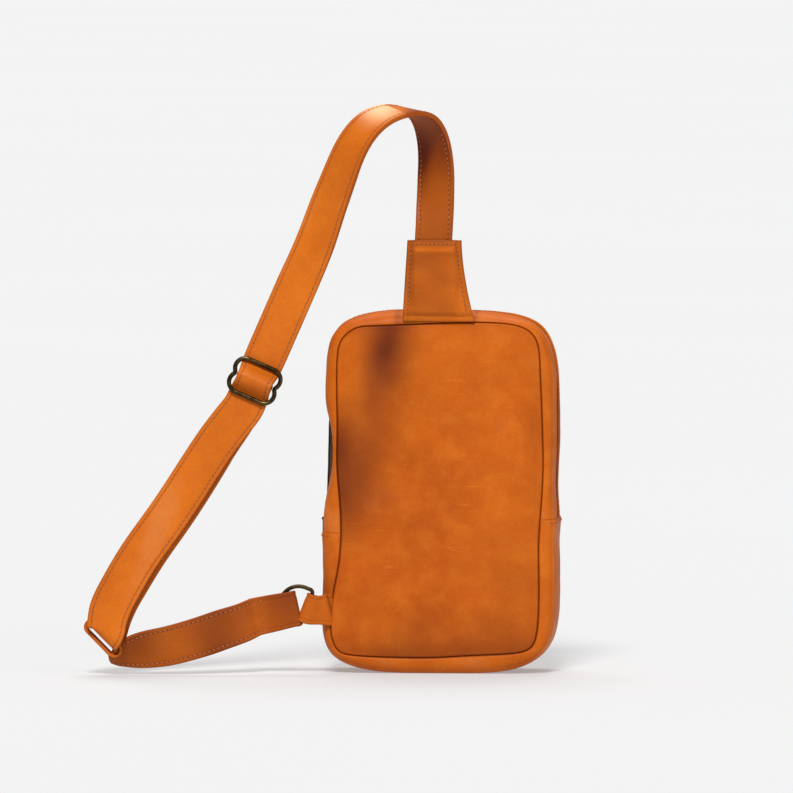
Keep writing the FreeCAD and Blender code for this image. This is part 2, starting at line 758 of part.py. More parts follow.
def fold_profile(inner, outer):
    """The squared U of one layer, in the plane of the fold's depth and the way down."""
    mid = LINK_MIDDLE - FOLD_DOWN * FOLD_DEPTH
    edges = []
    bottoms = []
    for reach in (inner, outer):
        radius = 1 + (reach - half_gap)
        drop = 1 + (reach - half_gap)
        front = mid + TO_WEARER * reach
        back = mid - TO_WEARER * reach
        corner_front = mid + TO_WEARER * (reach - radius) + FOLD_DOWN * drop
        corner_back = mid - TO_WEARER * (reach - radius) + FOLD_DOWN * drop
        diagonal = math.sqrt(0.5) * radius
        bulge_front = mid + TO_WEARER * (reach - radius + diagonal)
        bulge_front = bulge_front + FOLD_DOWN * (drop - radius + diagonal)
        bulge_back = mid - TO_WEARER * (reach - radius + diagonal)
        bulge_back = bulge_back + FOLD_DOWN * (drop - radius + diagonal)
        edges.append(Part.Arc(front, bulge_front, corner_front).toShape())
        edges.append(Part.LineSegment(corner_front, corner_back).toShape())
        edges.append(Part.Arc(corner_back, bulge_back, back).toShape())
        bottoms.append((front, back))
    for n in (0, 1):
        edges.append(Part.LineSegment(bottoms[0][n], bottoms[1][n]).toShape())
    return Part.__sortEdges__(edges)


for layer, (low, high) in LAYERS.items():
    leg = ribbon(
        [(p, w, half_strap) for p, w in LEG], 26, low, high,
        start=(RUN_ACROSS, RUN_OUT), end=(FOLD_ACROSS, TO_WEARER),
    )
    back_leg = ribbon(
        [(p, w, half_strap) for p, w in BACK_LEG], 22, low, high,
        start=(FOLD_ACROSS, TO_WEARER * -1), end=(RETURN_ACROSS, RETURN_OUT),
    )
    inner = middle_out + low
    outer = middle_out + high
    face = Part.Face(Part.Wire(fold_profile(inner, outer)))
    fold = face.extrude(FOLD_ACROSS * (2 * half_strap))
    fold.translate(FOLD_ACROSS * -half_strap)
    for part_name, shape in (("leg", leg), ("fold", fold), ("return", back_leg)):
        name = "strap_%s_%s" % (layer, part_name)
        nodes[name] = held(name, shape)

# the last of the returning strap, and its end sewn round the centre bar
TAIL = Vector(0, -10, -5.0 - FRAME_OUT)
last_top = run_frame.multVec(Vector(0, -13, -5.0))
for layer, (low, high) in LAYERS.items():
    name = "strap_%s_return_end" % layer
    stations = [
        (tuple(RETURN_LAST), tuple(RETURN_ACROSS), half_strap),
        (tuple(run_frame.multVec(Vector(0, -36, -5.0))), across_run, half_strap - 0.6),
        (tuple(last_top), across_run, 14.7),
    ]
    last = ribbon(stations, 8, low, high, start=(RETURN_ACROSS, RETURN_OUT))
    nodes[name] = held(name, last)

bar_hole = [Part.Circle(Vector(0, 0, 0), Vector(1, 0, 0), 1.65).toShape()]
end_edges = Part.__sortEdges__(teardrop(Vector(0, 0, 0), END_FOLD, TAIL, 1.6))
end_fold = slab(
    adjuster_frame, end_edges, bar_hole, Vector(-14.7, 0, 0), Vector(14.7, 0, 0)
)
nodes["strap_end_fold"] = held("strap_end_fold", end_fold)


# ---------------------------------------------------------------- lower strap and link
RING_FOLD = Vector(-114.4, TAB_Y, 54)
FOLD_TILT = math.radians(12)
LOWER_UP = Vector(-math.sin(FOLD_TILT), 0, math.cos(FOLD_TILT))
LOWER_WAY = Vector(-math.cos(FOLD_TILT), 0, -math.sin(FOLD_TILT))
lower_frame = frame_at(
    RING_FOLD, LOWER_WAY * -1, LOWER_UP, LOWER_UP.cross(LOWER_WAY)
)
half_thick = leather + 0.05
OPEN_HALF = size("ring_wire") + 0.4
loop_outer = OPEN_HALF + leather
PARALLEL, CLOSED = 14.0, 30.0


def fold_edges(half, turn, parallel, end_x, end_half):
    """The closed outline of a folded end: a half circle, two sides, and a taper."""
    edges = [
        Part.Arc(
            Vector(-turn, 0, half), Vector(half - turn, 0, 0), Vector(-turn, 0, -half)
        ).toShape(),
        Part.LineSegment(Vector(-turn, 0, -half), Vector(-parallel, 0, -half)).toShape(),
        Part.LineSegment(
            Vector(-parallel, 0, -half), Vector(-end_x, 0, -end_half)
        ).toShape(),
        Part.LineSegment(
            Vector(-end_x, 0, end_half), Vector(-parallel, 0, half)
        ).toShape(),
        Part.LineSegment(Vector(-parallel, 0, half), Vector(-turn, 0, half)).toShape(),
    ]
    if end_half > 0:
        edges.insert(
            3,
            Part.LineSegment(
                Vector(-end_x, 0, -end_half), Vector(-end_x, 0, end_half)
            ).toShape(),
        )
    return edges


half_end = 11.5
ring_end = slab(
    lower_frame,
    fold_edges(loop_outer, loop_outer, PARALLEL, CLOSED, half_thick),
    fold_edges(OPEN_HALF, loop_outer, PARALLEL - 1, CLOSED - 4, 0),
    Vector(0, -half_end, 0),
    Vector(0, half_end, 0),
)

lower_start = RING_FOLD + LOWER_WAY * CLOSED
up = tuple(LOWER_UP)
WALL = size("loop_leather")
SLOT_NEAR = -FOLD_DEPTH + 1 - 0.6
SLOT_FAR = 2.4
slot_half = half_strap + 0.8
loop_frame = frame_at(
    LINK_MIDDLE, FOLD_ACROSS, FOLD_DOWN, FOLD_ACROSS.cross(FOLD_DOWN)
)


def stadium(half_long, near, far):
    """A rounded slot outline in the link's plane."""
    radius = (far - near) / 2
    middle = (far + near) / 2
    straight = half_long - radius
    return [
        Part.LineSegment(
            Vector(-straight, far, 0), Vector(straight, far, 0)
        ).toShape(),
        Part.Arc(
            Vector(straight, far, 0), Vector(half_long, middle, 0),
            Vector(straight, near, 0),
        ).toShape(),
        Part.LineSegment(
            Vector(straight, near, 0), Vector(-straight, near, 0)
        ).toShape(),
        Part.Arc(
            Vector(-straight, near, 0), Vector(-half_long, middle, 0),
            Vector(-straight, far, 0),
        ).toShape(),
    ]


band = size("loop_band")
link_loop = slab(
    loop_frame,
    stadium(slot_half + 2 + WALL, SLOT_NEAR - WALL, SLOT_FAR + WALL),
    stadium(slot_half + 2, SLOT_NEAR, SLOT_FAR),
    Vector(0, 0, -band / 2),
    Vector(0, 0, band / 2),
)

loop_mouth = loop_frame.multVec(
    Vector(slot_half + 2 + WALL / 2, (SLOT_NEAR + SLOT_FAR) / 2, 0)
)
LOWER = [
    (tuple(lower_start), up, half_end),
    ((-150.0, -46.0, 42.5), (-0.27, 0, 0.963), 14.5),
    ((-168.0, -51.0, 36.5), (-0.30, 0, 0.954), 16),
    ((-190.0, -56.0, 29.6), (-0.28, 0, 0.96), 16),
    ((-213.0, -58.5, 24.2), (-0.2, 0, 0.98), 16),
    ((-230.0, -60.0, 21.5), (-0.1, -0.2, 0.98), 15.5),
    ((-241.0, -61.5, 18.0), (-0.1, -0.65, 0.75), 12.5),
    (tuple(loop_mouth), (0, -1, 0), band / 2 - 0.5),
]
lower_body = ribbon(
    LOWER, 30, -half_thick, half_thick,
    start=(LOWER_UP, LOWER_WAY.cross(LOWER_UP)),
)
lower_strap = ring_end.fuse([lower_body, link_loop]).removeSplitter()
nodes["lower_strap"] = held("lower_strap", lower_strap)


# ---------------------------------------------------------------- leather tabs
tab_outer = teardrop(Vector(0, 0, 0), 3.9, Vector(17.4, 0, -1.95), 1.95)
tab_inner = [
    Part.Arc(Vector(0, 0, 1.9), Vector(-1.9, 0, 0), Vector(0, 0, -1.9)).toShape(),
    Part.LineSegment(Vector(0, 0, -1.9), Vector(11, 0, -1.8)).toShape(),
    Part.LineSegment(Vector(11, 0, -1.8), Vector(0, 0, 1.9)).toShape(),
]
tab_solid = slab(
    ring_frame, Part.__sortEdges__(tab_outer), tab_inner,
    Vector(0, -12, 0), Vector(0, 12, 0),
)
beyond = Part.makeBox(60, 60, 200, Vector(-82.5, -70, -50))
nodes["side_tab"] = held("side_tab", tab_solid.cut(beyond))

channel = size("tab_channel")
middle_x = -3.2
low_z, high_z = size("tab_low"), size("tab_top")
trapezoid = Part.makePolygon(
    [
        Vector(middle_x + x, 0, z)
        for x, z in (
            (-size("tab_half_low"), low_z), (size("tab_half_low") + 2, low_z),
            (size("tab_half_top") - 1, high_z), (-size("tab_half_top"), high_z),
            (-size("tab_half_low"), low_z),
        )
    ]
)
prism = Part.Face(trapezoid).extrude(Vector(0, -60, 0))
strap_near = TAB_Y - leather - 0.05 - 0.25
strap_far = TAB_Y + leather + 0.05 + 0.25
back_layer = Part.makeBox(
    80, leather, high_z - low_z,
    Vector(middle_x - 40, strap_far, low_z),
)
nodes["anchor_tab_back"] = held("anchor_tab_back", back_layer.common(prism))
ramp = 3.0
rim_y = strap_far - 0.05
hat = [
    (-40, rim_y), (-channel - ramp, rim_y), (-channel, strap_near),
    (channel, strap_near), (channel + ramp, rim_y), (40, rim_y),
    (40, rim_y - leather), (channel + ramp + 0.8, rim_y - leather),
    (channel + 0.8, strap_near - leather), (-channel - 0.8, strap_near - leather),
    (-channel - ramp - 0.8, rim_y - leather), (-40, rim_y - leather), (-40, rim_y),
]
hat_wire = Part.makePolygon([Vector(middle_x + x, y, low_z) for x, y in hat])
hat_solid = Part.Face(hat_wire).extrude(Vector(0, 0, high_z - low_z))
nodes["anchor_tab_front"] = held("anchor_tab_front", hat_solid.common(prism))

# ---------------------------------------------------------------- check and export
doc.recompute()
os.makedirs("parts", exist_ok=True)
for item in doc.Objects:
    if "Invalid" in item.State or "Error" in item.State:
        raise RuntimeError("%s is not valid" % item.Label)
for name, node in sorted(nodes.items()):
    shape = node.Shape
    if shape.isNull() or not shape.isValid():
        raise RuntimeError("%s has no valid shape" % name)
    shape.exportStep("parts/%s.step" % name)
    box_of = shape.BoundBox
    print(
        "%-24s %9.1f mm3  x %7.1f %7.1f  y %6.1f %6.1f  z %6.1f %6.1f  %d" % (
            name, shape.Volume, box_of.XMin, box_of.XMax, box_of.YMin, box_of.YMax,
            box_of.ZMin, box_of.ZMax, len(shape.Solids),
        )
    )
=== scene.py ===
import math

import bmesh
import bpy
import numpy as np
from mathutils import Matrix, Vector


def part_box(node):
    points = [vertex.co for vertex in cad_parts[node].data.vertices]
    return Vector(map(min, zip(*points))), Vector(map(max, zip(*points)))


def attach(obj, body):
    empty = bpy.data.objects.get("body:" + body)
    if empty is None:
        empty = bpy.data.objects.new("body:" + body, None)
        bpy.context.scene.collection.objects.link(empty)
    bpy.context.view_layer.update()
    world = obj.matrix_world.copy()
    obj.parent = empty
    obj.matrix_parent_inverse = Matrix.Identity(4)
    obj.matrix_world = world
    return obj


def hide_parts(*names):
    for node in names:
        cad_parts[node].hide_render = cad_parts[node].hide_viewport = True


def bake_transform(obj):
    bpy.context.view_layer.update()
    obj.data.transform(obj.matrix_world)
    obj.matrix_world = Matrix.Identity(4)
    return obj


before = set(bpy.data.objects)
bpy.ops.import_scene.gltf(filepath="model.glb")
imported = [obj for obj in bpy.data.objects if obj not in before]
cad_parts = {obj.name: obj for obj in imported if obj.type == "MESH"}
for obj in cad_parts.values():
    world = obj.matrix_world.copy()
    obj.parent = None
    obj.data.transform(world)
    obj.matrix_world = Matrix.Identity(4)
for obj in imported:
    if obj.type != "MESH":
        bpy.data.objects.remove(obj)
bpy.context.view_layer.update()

MM = 0.001
WELD_GAP = 0.04


# ---------------- small maths
def unit(v):
    v = np.asarray(v, float)
    return v / np.maximum(np.linalg.norm(v, axis=-1, keepdims=True), 1e-12)


def smooth(t):
    t = np.clip(t, 0, 1)
    return t * t * (3 - 2 * t)


def bell(x, middle, wide):
    return np.exp(-(((x - middle) / wide) ** 2))


class Curve:
    """A cubic spline through points of any dimension, by chord length."""

    def __init__(self, points, closed=False):
        p = np.asarray(points, float)
        self.closed = closed
        if closed:
            p = np.vstack([p, p[:1]])
        h = np.linalg.norm(np.diff(p[:, :3], axis=0), axis=1)
        self.t = np.concatenate([[0], np.cumsum(h)])
        n = len(p)
        a = np.zeros((n, n))
        b = np.zeros((n, p.shape[1]))
        for i in range(1, n - 1):
            a[i, i - 1:i + 2] = h[i - 1], 2 * (h[i - 1] + h[i]), h[i]
            b[i] = 6 * ((p[i + 1] - p[i]) / h[i] - (p[i] - p[i - 1]) / h[i - 1])
        if closed:
            a[0, 0], a[0, -1] = 1, -1
            a[-1, 0], a[-1, 1] = 2 * h[0], h[0]
            a[-1, -2], a[-1, -1] = h[-1], 2 * h[-1]
            b[-1] = 6 * ((p[1] - p[0]) / h[0] - (p[-1] - p[-2]) / h[-1])
        else:
            a[0, 0] = a[-1, -1] = 1
        self.m = np.linalg.solve(a, b)
        self.p = p
        self.h = h

    def at(self, t):
        t = np.asarray(t, float)
        if self.closed:
            t = np.mod(t, self.t[-1])
        i = np.clip(np.searchsorted(self.t, t, side="right") - 1, 0, len(self.h) - 1)
        h = self.h[i][..., None]
        lo = (t - self.t[i])[..., None]
        hi = h - lo
        m0, m1 = self.m[i], self.m[i + 1]
        return (
            (m0 * hi ** 3 + m1 * lo ** 3) / (6 * h)
            + (self.p[i] / h - m0 * h / 6) * hi
            + (self.p[i + 1] / h - m1 * h / 6) * lo
        )


def waves(p, count, length, seed):
    """Soft repeatable unevenness over points, about -1 to 1; length is its size."""
    draw = np.random.default_rng(seed)
    total = np.zeros(p.shape[:-1])
    for _ in range(count):
        k = unit(draw.normal(size=p.shape[-1])) * draw.uniform(0.6, 1.6) / length
        total += np.sin(p @ k * 2 * math.pi + draw.uniform(0, 6.3))
    return total / math.sqrt(count)


def between(x, known_x, vectors):
    """Rows of vectors, read off at x."""
    return np.column_stack([np.interp(x, known_x, vectors[:, k]) for k in range(3)])


def lengths_along(line):
    step = np.linalg.norm(np.diff(line, axis=0), axis=1)
    return np.concatenate([[0], np.cumsum(step)])


# ---------------- mesh helpers
def make(name, points, faces, materials, shade=None, picks=None):
    """A piece from points in millimetres; shade is how burnt the leather is at each, with painted shade
    added, and below nought a painted highlight.
    """
    mesh = bpy.data.meshes.new(name)
    mesh.from_pydata((np.asarray(points) * MM).tolist(), [], faces)
    mesh.update()
    mesh.polygons.foreach_set("use_smooth", [True] * len(mesh.polygons))
    if shade is not None:
        layer = mesh.attributes.new("burn_shade_highlight", "FLOAT", "POINT")
        layer.data.foreach_set("value", np.asarray(shade, np.float32).ravel())
    for material in materials:
        mesh.materials.append(material)
    if picks is not None:
        mesh.polygons.foreach_set("material_index", picks)
    obj = bpy.data.objects.new(name, mesh)
    bpy.context.scene.collection.objects.link(obj)
    return obj


def grid_faces(rows, cols, close_rows=False, close_cols=False):
    faces = []
    for i in range(rows if close_rows else rows - 1):
        a, b = i * cols, ((i + 1) % rows) * cols
        for j in range(cols if close_cols else cols - 1):
            k = (j + 1) % cols
            faces.append((a + j, b + j, b + k, a + k))
    return faces


def sheet_of(name, grid, material, burn_shade_highlight, **closing):
    rows, cols = grid.shape[:2]
    return make(
        name, grid.reshape(-1, 3), grid_faces(rows, cols, **closing), [material], burn_shade_highlight
    )


def thicken(obj, thick):
    """Gives a sheet its thickness, on its inside."""
    solid = obj.modifiers.new("thickness", "SOLIDIFY")
    solid.thickness = thick * MM
    solid.offset = -1
    solid.use_rim = True


def weld(obj):
    """Joins the points where a panel's rings meet along its middle."""
    work = bmesh.new()
    work.from_mesh(obj.data)
    bmesh.ops.remove_doubles(work, verts=work.verts, dist=WELD_GAP * MM)
    work.to_mesh(obj.data)
    work.free()


def facing_out(obj, outward):
    """Turns the faces if most of them look away from a rule for outward."""
    mesh = obj.data
    total = 0
    for face in mesh.polygons:
        total += face.normal.dot(Vector(outward(np.array(face.center) / MM)))
    if total < 0:
        mesh.flip_normals()


def many(name, shape, faces, places, material):
    """Copies of one small solid at places (origin, x, y, z), as one mesh."""
    count = len(shape)
    points = np.concatenate([
        o + shape[:, :1] * x + shape[:, 1:2] * y + shape[:, 2:] * z
        for o, x, y, z in places
    ])
    every = [
        tuple(n * count + k for k in face)
        for n in range(len(places)) for face in faces
    ]
    return make(name, points, every, [material])


def dress(piece, body, slot, *nodes):
    """A finished piece rides a body, in place of CAD nodes where it has them."""
    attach(piece, body)
    if nodes:
        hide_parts(*nodes)


def pill(long, wide, high, rings=6, around=8):
    """A stitch: an arched thread lying along x, sunk at both ends."""
    points = []
    for i in range(rings):
        s = -1 + 2 * i / (rings - 1)
        grow = math.sqrt(max(0, 1 - s ** 4)) * 0.94 + 0.06
        lift = high * (0.4 - 0.9 * s ** 2)
        for j in range(around):
            a = 2 * math.pi * j / around
            points.append((
                s * long / 2, grow * wide / 2 * math.cos(a),
                lift + grow * high / 2 * math.sin(a),
            ))
    faces = grid_faces(rings, around, close_cols=True)
    faces.append(tuple(range(around))[::-1])
    faces.append(tuple((rings - 1) * around + j for j in range(around)))
    return np.array(points), faces


# ---------------- materials
class Nodes:
    """A material's node tree; its methods return the socket of what they make."""

    def __init__(self, name):
        self.material = bpy.data.materials.new(name)
        self.material.use_nodes = True
        self.tree = self.material.node_tree
        self.shader = self.tree.nodes["Principled BSDF"]
        self.place = self.add("ShaderNodeTexCoord", {}, "Object")

    def feed(self, socket, value):
        """Links a socket to another one, or sets its number, vector or colour."""
        if isinstance(value, bpy.types.NodeSocket):
            self.tree.links.new(value, socket)
        elif socket.type == "RGBA":
            socket.default_value = (*value, 1)
        else:
            socket.default_value = value

    def add(self, kind, feeds, output=0, **settings):
        node = self.tree.nodes.new(kind)
        for key, value in settings.items():
            setattr(node, key, value)
        for key, value in feeds.items():
            self.feed(node.inputs[key], value)
        return node.outputs[output]

    def scaled(self, scale, turn=(0, 0, 0)):
        return self.add("ShaderNodeMapping", {"Vector": self.place, "Scale": scale, "Rotation": turn})

    def noise(self, scale, detail=3, rough=0.5, vector=None, distort=0.0):
        feeds = {"Vector": vector or self.place, "Scale": scale, "Detail": detail}
        feeds.update({"Roughness": rough, "Distortion": distort})
        return self.add("ShaderNodeTexNoise", feeds, "Fac")

    def cells(self, scale, feature):
        feeds = {"Vector": self.place, "Scale": scale}
        return self.add("ShaderNodeTexVoronoi", feeds, "Distance", feature=feature)

    def bands(self, scale, distort, vector):
        feeds = {"Vector": vector, "Scale": scale, "Distortion": distort}
        return self.add("ShaderNodeTexWave", feeds, "Fac", bands_direction="X")

    def span(self, value, a, b, c=0.0, d=1.0):
        feeds = {"Value": value, "From Min": a, "From Max": b, "To Min": c, "To Max": d}
        return self.add("ShaderNodeMapRange", feeds, clamp=True)

    def maths(self, operation, a, b):
        return self.add("ShaderNodeMath", {0: a, 1: b}, operation=operation)

    def mix(self, share, a, b):
        # 0, 6 and 7 are the share and the two colours, and 2 is the colour that comes out
        return self.add("ShaderNodeMix", {0: share, 6: a, 7: b}, 2, data_type="RGBA")

    def bump(self, height, strength, distance, before=None):
        feeds = {"Height": height, "Strength": strength, "Distance": distance}
        if before is not None:
            feeds["Normal"] = before
        return self.add("ShaderNodeBump", feeds)

    def attribute(self, name):
        return self.add("ShaderNodeAttribute", {}, "Fac", attribute_name=name)

    def finish(self, colour, rough, normal=None, **uniform):
        """Wires up the shader; uniform values go on its own sockets, _ for a space."""
        self.feed(self.shader.inputs["Base Color"], colour)
        self.feed(self.shader.inputs["Roughness"], rough)
        if normal is not None:
            self.feed(self.shader.inputs["Normal"], normal)
        for key, value in uniform.items():
            self.feed(self.shader.inputs[key.replace("_", " ")], value)
        return self.material


BURNT_AND_SHADED = (0.130, 0.020, 0.003)
PAINTED_HIGHLIGHT = (0.90, 0.56, 0.30)
# the three families of scratches, by the turn of their direction
SCRATCH_TURNS = ((0.2, 0.5, 0.3), (0.9, -0.6, 1.2), (1.7, 0.35, -0.4))


def leather(name, base, deep, pale, worn=1.0):
    """Pull-up leather: cloudy tone, fine grain, faint scratches, burnt edges, painted shade and painted
    highlights.
    """
    n = Nodes(name)
    cloud = n.span(n.noise(9, 4, 0.55, distort=0.4), 0.36, 0.66)
    colour = n.mix(cloud, deep, base)
    mottle = n.span(n.noise(55, 5, 0.6), 0.42, 0.72, 0, 0.40)
    colour = n.mix(mottle, colour, pale)
    speck = n.span(n.noise(420, 3, 0.6), 0.35, 0.7, 0, 0.22)
    colour = n.mix(speck, colour, tuple(0.55 * c for c in base))
    dust = n.span(n.noise(900, 2, 0.7), 0.62, 0.75, 0, 0.22)
    colour = n.mix(dust, colour, pale)
    for number, turn in enumerate(SCRATCH_TURNS):
        lane = n.noise(1, 1, 0.4, n.scaled((9 + 5 * number, 12, 260), turn))
        line = n.span(lane, 0.628, 0.640)
        gone = n.span(lane, 0.646, 0.660, 1, 0)
        patch = n.span(n.noise(22 + 9 * number, 1), 0.56, 0.66)
        share = n.maths("MULTIPLY", n.maths("MULTIPLY", line, gone), patch)
        colour = n.mix(n.maths("MULTIPLY", share, 0.4 * worn), colour, pale)
    burn_shade_highlight = n.attribute("burn_shade_highlight")
    # above nought the mark darkens: burnt edges and seams, and painted shade
    colour = n.mix(n.span(burn_shade_highlight, 0, 1), colour, BURNT_AND_SHADED)
    # below nought the mark is a painted highlight, a paler place, instead of burnt leather and painted
    # shade
    colour = n.mix(n.span(burn_shade_highlight, 0, -1), colour, PAINTED_HIGHLIGHT)
    grain = n.cells(1150, "DISTANCE_TO_EDGE")
    grain = n.span(grain, 0.0, 0.16)
    normal = n.bump(grain, 0.16, 0.00012)
    normal = n.bump(n.noise(260, 5, 0.62), 0.22, 0.00035, normal)
    normal = n.bump(n.noise(34, 3, 0.5), 0.30, 0.0012, normal)
    rough = n.span(n.noise(40, 4), 0.3, 0.7, 0.42, 0.60)
    return n.finish(
        colour, rough, normal, Specular_IOR_Level=0.10, Coat_Weight=0.05, Coat_Roughness=0.30
    )


def plain_grain(name, base, other, scale, rough, metallic=0.0, strength=0.2):
    """Two mottled tones over a fine bump, for thread and old brass."""
    n = Nodes(name)
    share = n.span(n.noise(scale, 5, 0.6), 0.35, 0.68)
    colour = n.mix(share, other, base)
    normal = n.bump(n.noise(scale * 4, 4), strength, 0.0002)
    rough = n.span(n.noise(scale * 1.7, 3), 0.3, 0.7, *rough)
    return n.finish(colour, rough, normal, Metallic=metallic)


def woven(name, base, pitch):
    """Plain weave: two crossed sets of threads."""
    n = Nodes(name)
    turns = ((0, 0, 0), (0, math.pi / 2, 0))
    weave = n.maths("MAXIMUM", *(n.bands(1 / pitch / 3, 0.6, n.scaled((1, 1, 1), turn)) for turn in turns))
    colour = n.mix(n.span(weave, 0.1, 0.9), tuple(0.35 * c for c in base), base)
    faded = n.span(n.noise(30, 3), 0.4, 0.7, 0, 0.35)
    colour = n.mix(faded, colour, tuple(1.6 * c for c in base))
    rough = n.span(n.noise(200, 2), 0.2, 0.8, 0.8, 0.95)
    return n.finish(colour, rough, n.bump(weave, 0.5, 0.0003))


ORANGE = (0.565, 0.118, 0.004)
DEEP = (0.46, 0.082, 0.003)
PALE = (0.70, 0.185, 0.014)
panel_leather = leather("panel_leather", ORANGE, DEEP, PALE)
GUSSET_ORANGE = (0.56, 0.118, 0.004)
GUSSET_DEEP = (0.45, 0.082, 0.003)
gusset_leather = leather("gusset_leather", GUSSET_ORANGE, GUSSET_DEEP, PALE, 0.5)
STRAP_ORANGE = (0.61, 0.142, 0.007)
STRAP_DEEP = (0.53, 0.108, 0.005)
strap_leather = leather("strap_leather", STRAP_ORANGE, STRAP_DEEP, PALE, 0.6)
thread = plain_grain("thread", (0.50, 0.15, 0.030), (0.30, 0.075, 0.014), 900, (0.55, 0.75))
brass = plain_grain(
    "antique_brass", (0.105, 0.070, 0.026), (0.028, 0.016, 0.007), 140, (0.22, 0.42), 1.0, 0.12
)
lining_cloth = woven("lining_cloth", (0.10, 0.060, 0.035), 0.0006)
tape_cloth = woven("tape_cloth", (0.075, 0.040, 0.022), 0.0005)

# ---------------- the bag's outline
# seam of the panel (x, z), the roll's outermost line (x, z), and how far the side
# facing the wearer has caved in there
OUTLINE = [
    (-3, 12.9, -3, 0.3, 0), (30, 14.8, 32, 0.6, 0), (57, 16.3, 62, 4.0, 0),
    (70, 18.5, 78.5, 11.2, 0), (77.2, 25, 89.2, 24.5, 0), (80.0, 38, 93.2, 40, 0),
    (81, 60, 94.4, 62, 0), (80.9, 85, 94.5, 86, 0), (80.8, 104, 94.3, 104, 0),
    (81.9, 122, 95.0, 122, 0), (83.6, 145, 93.8, 146, 0), (84.4, 165, 94.2, 165, 0),
    (84, 190, 95.2, 190, 0), (83.2, 215, 95.0, 216, 0), (82, 243, 93.4, 247, 0),
    (80.3, 262, 89.2, 263, 0), (74, 273, 79.8, 276.6, 0), (61, 278.6, 62.5, 284.6, 0),
    (40, 280.4, 41, 287.8, 0), (5, 280.2, 5, 289.0, 0), (-28, 278.6, -28, 288.9, 0),
    (-55, 277.4, -57.5, 285.9, 0), (-67.5, 274.6, -75, 279.6, 0),
    (-76, 267, -84.5, 270.5, 0), (-79.7, 255, -89, 256, 0), (-80.4, 235, -90.4, 236, 0),
    (-80.2, 212, -90.4, 212, 0.6), (-80.0, 196, -90.4, 196, 4.6),
    (-80.4, 175, -90.5, 175, 7.6), (-79.8, 158, -90.9, 158, 6.0),
    (-78.2, 140, -91.6, 140, 1.4), (-77.0, 118, -92.3, 118, 0),
    (-77.4, 100, -92.3, 100, 0), (-80, 80, -92.3, 80, 0), (-83.4, 62, -92.9, 62, 0),
    (-85.2, 44, -93.2, 44, 0), (-84.2, 28, -91.3, 26, 0), (-79.6, 18.6, -84.8, 14, 0),
    (-68, 14.6, -69, 5.4, 0), (-38, 13.0, -38, 0.9, 0),
]
SEAM_Y = 34.6
# how deep the roll beside each seam is, and how deep the seam lies in its valley
ROLL_Y = 11.0
VALLEY, VALLEY_WIDE = 1.5, 0.75
# heights of the joints between the lower gusset and the upper strips
JOINT_LEFT, JOINT_RIGHT = 113.0, 124.0
# half the gap between the upper strips, where the zipper shows
SLOT = 7.0
LEATHER = 2.0
# the gap kept over the floor
CLEAR = 0.15

# the curve runs along the outermost line and carries the seam and the cave with it
outline = Curve([(x, z, 0, seam_x, seam_z, cave) for seam_x, seam_z, x, z, cave in OUTLINE], True)
dense = np.linspace(0, outline.t[-1], 4001)[:-1]
dense_at = outline.at(dense)


def height_crossing(height, right_side):
    side = dense_at[:, 0] > 0 if right_side else dense_at[:, 0] < 0
    miss = np.where(side, abs(dense_at[:, 1] - height), 1e9)
    return dense[np.argmin(miss)]


T_RIGHT = height_crossing(JOINT_RIGHT, True)
T_LEFT = height_crossing(JOINT_LEFT, False)
T_FULL = outline.t[-1]
# the panels' rings close on an upright spine, from the outline's start to its top
SPINE_X = -3
T_TOP = dense[np.argmin(np.where(dense_at[:, 1] > 200, abs(dense_at[:, 0] - SPINE_X), 1e9))]
# the roll's profile is a superellipse of this power
ROLL_POWER = 2.4


def profile(y):
    """How far out the gusset is at a depth, 0 at the seam and 1 on the flat."""
    over = (np.abs(y) - (SEAM_Y - ROLL_Y)) / ROLL_Y
    return np.sqrt(np.clip(1 - np.clip(over, 0, 1) ** ROLL_POWER, 0, 1))


def caved(cave, y):
    """How far the side has caved in at a depth, the most towards the wearer."""
    return cave * (0.35 + 0.65 * smooth((10 - y) / 40))


def gusset_points(t, y, lift=0.0):
    """Points of the gusset for an outline parameter t and a depth y (arrays that fit)."""
    t, y = np.broadcast_arrays(np.asarray(t, float), np.asarray(y, float))
    o = outline.at(t)
    outer, seam, cave = o[..., 0:2], o[..., 3:5], o[..., 5]
    cave_here = caved(cave, y) * smooth((34 - y) / 14)
    out = unit(outer - seam)
    share = profile(y)[..., None]
    flat = seam + share * (outer - seam)
    point = np.stack([flat[..., 0], y, flat[..., 1]], -1)
    # the leather swells between its seams, with long creases at the right and the top
    puff = -1.0 + 0.9 * bell(y, 8, 17) * smooth(share[..., 0])
    right = smooth((outer[..., 0] - 60) / 30) * smooth((outer[..., 1] - 20) / 40)
    puff = puff + right * (0.3 * bell(y, 12, 14) - 0.8 * bell(y, -13, 5))
    top = smooth((outer[..., 1] - 268) / 14)
    puff = puff + top * (1.5 * bell(y, -17, 8) - 0.5 * bell(y, -4, 6))
    rough = 0.28 * waves(point, 9, 70, 3) + 0.10 * waves(point, 8, 17, 5)
    # the foot stays flat on the floor
    floor_hold = 1 - smooth((8 - outer[..., 1]) / 8)
    step = (puff + rough * share[..., 0]) * (0.15 + 0.85 * floor_hold)
    step = step + lift - cave_here * share[..., 0] ** 2
    inner = np.stack([out[..., 0], np.zeros_like(y), out[..., 1]], -1)
    from_seam = np.linalg.norm(share * (outer - seam), axis=-1)
    dip = VALLEY * np.exp(-((from_seam / VALLEY_WIDE) ** 2))
    point = point + inner * (step * (1 - np.exp(-from_seam / 3)))[..., None]
    point[..., 1] -= np.sign(y) * dip
    point[..., 2] = np.maximum(point[..., 2], CLEAR)
    return point


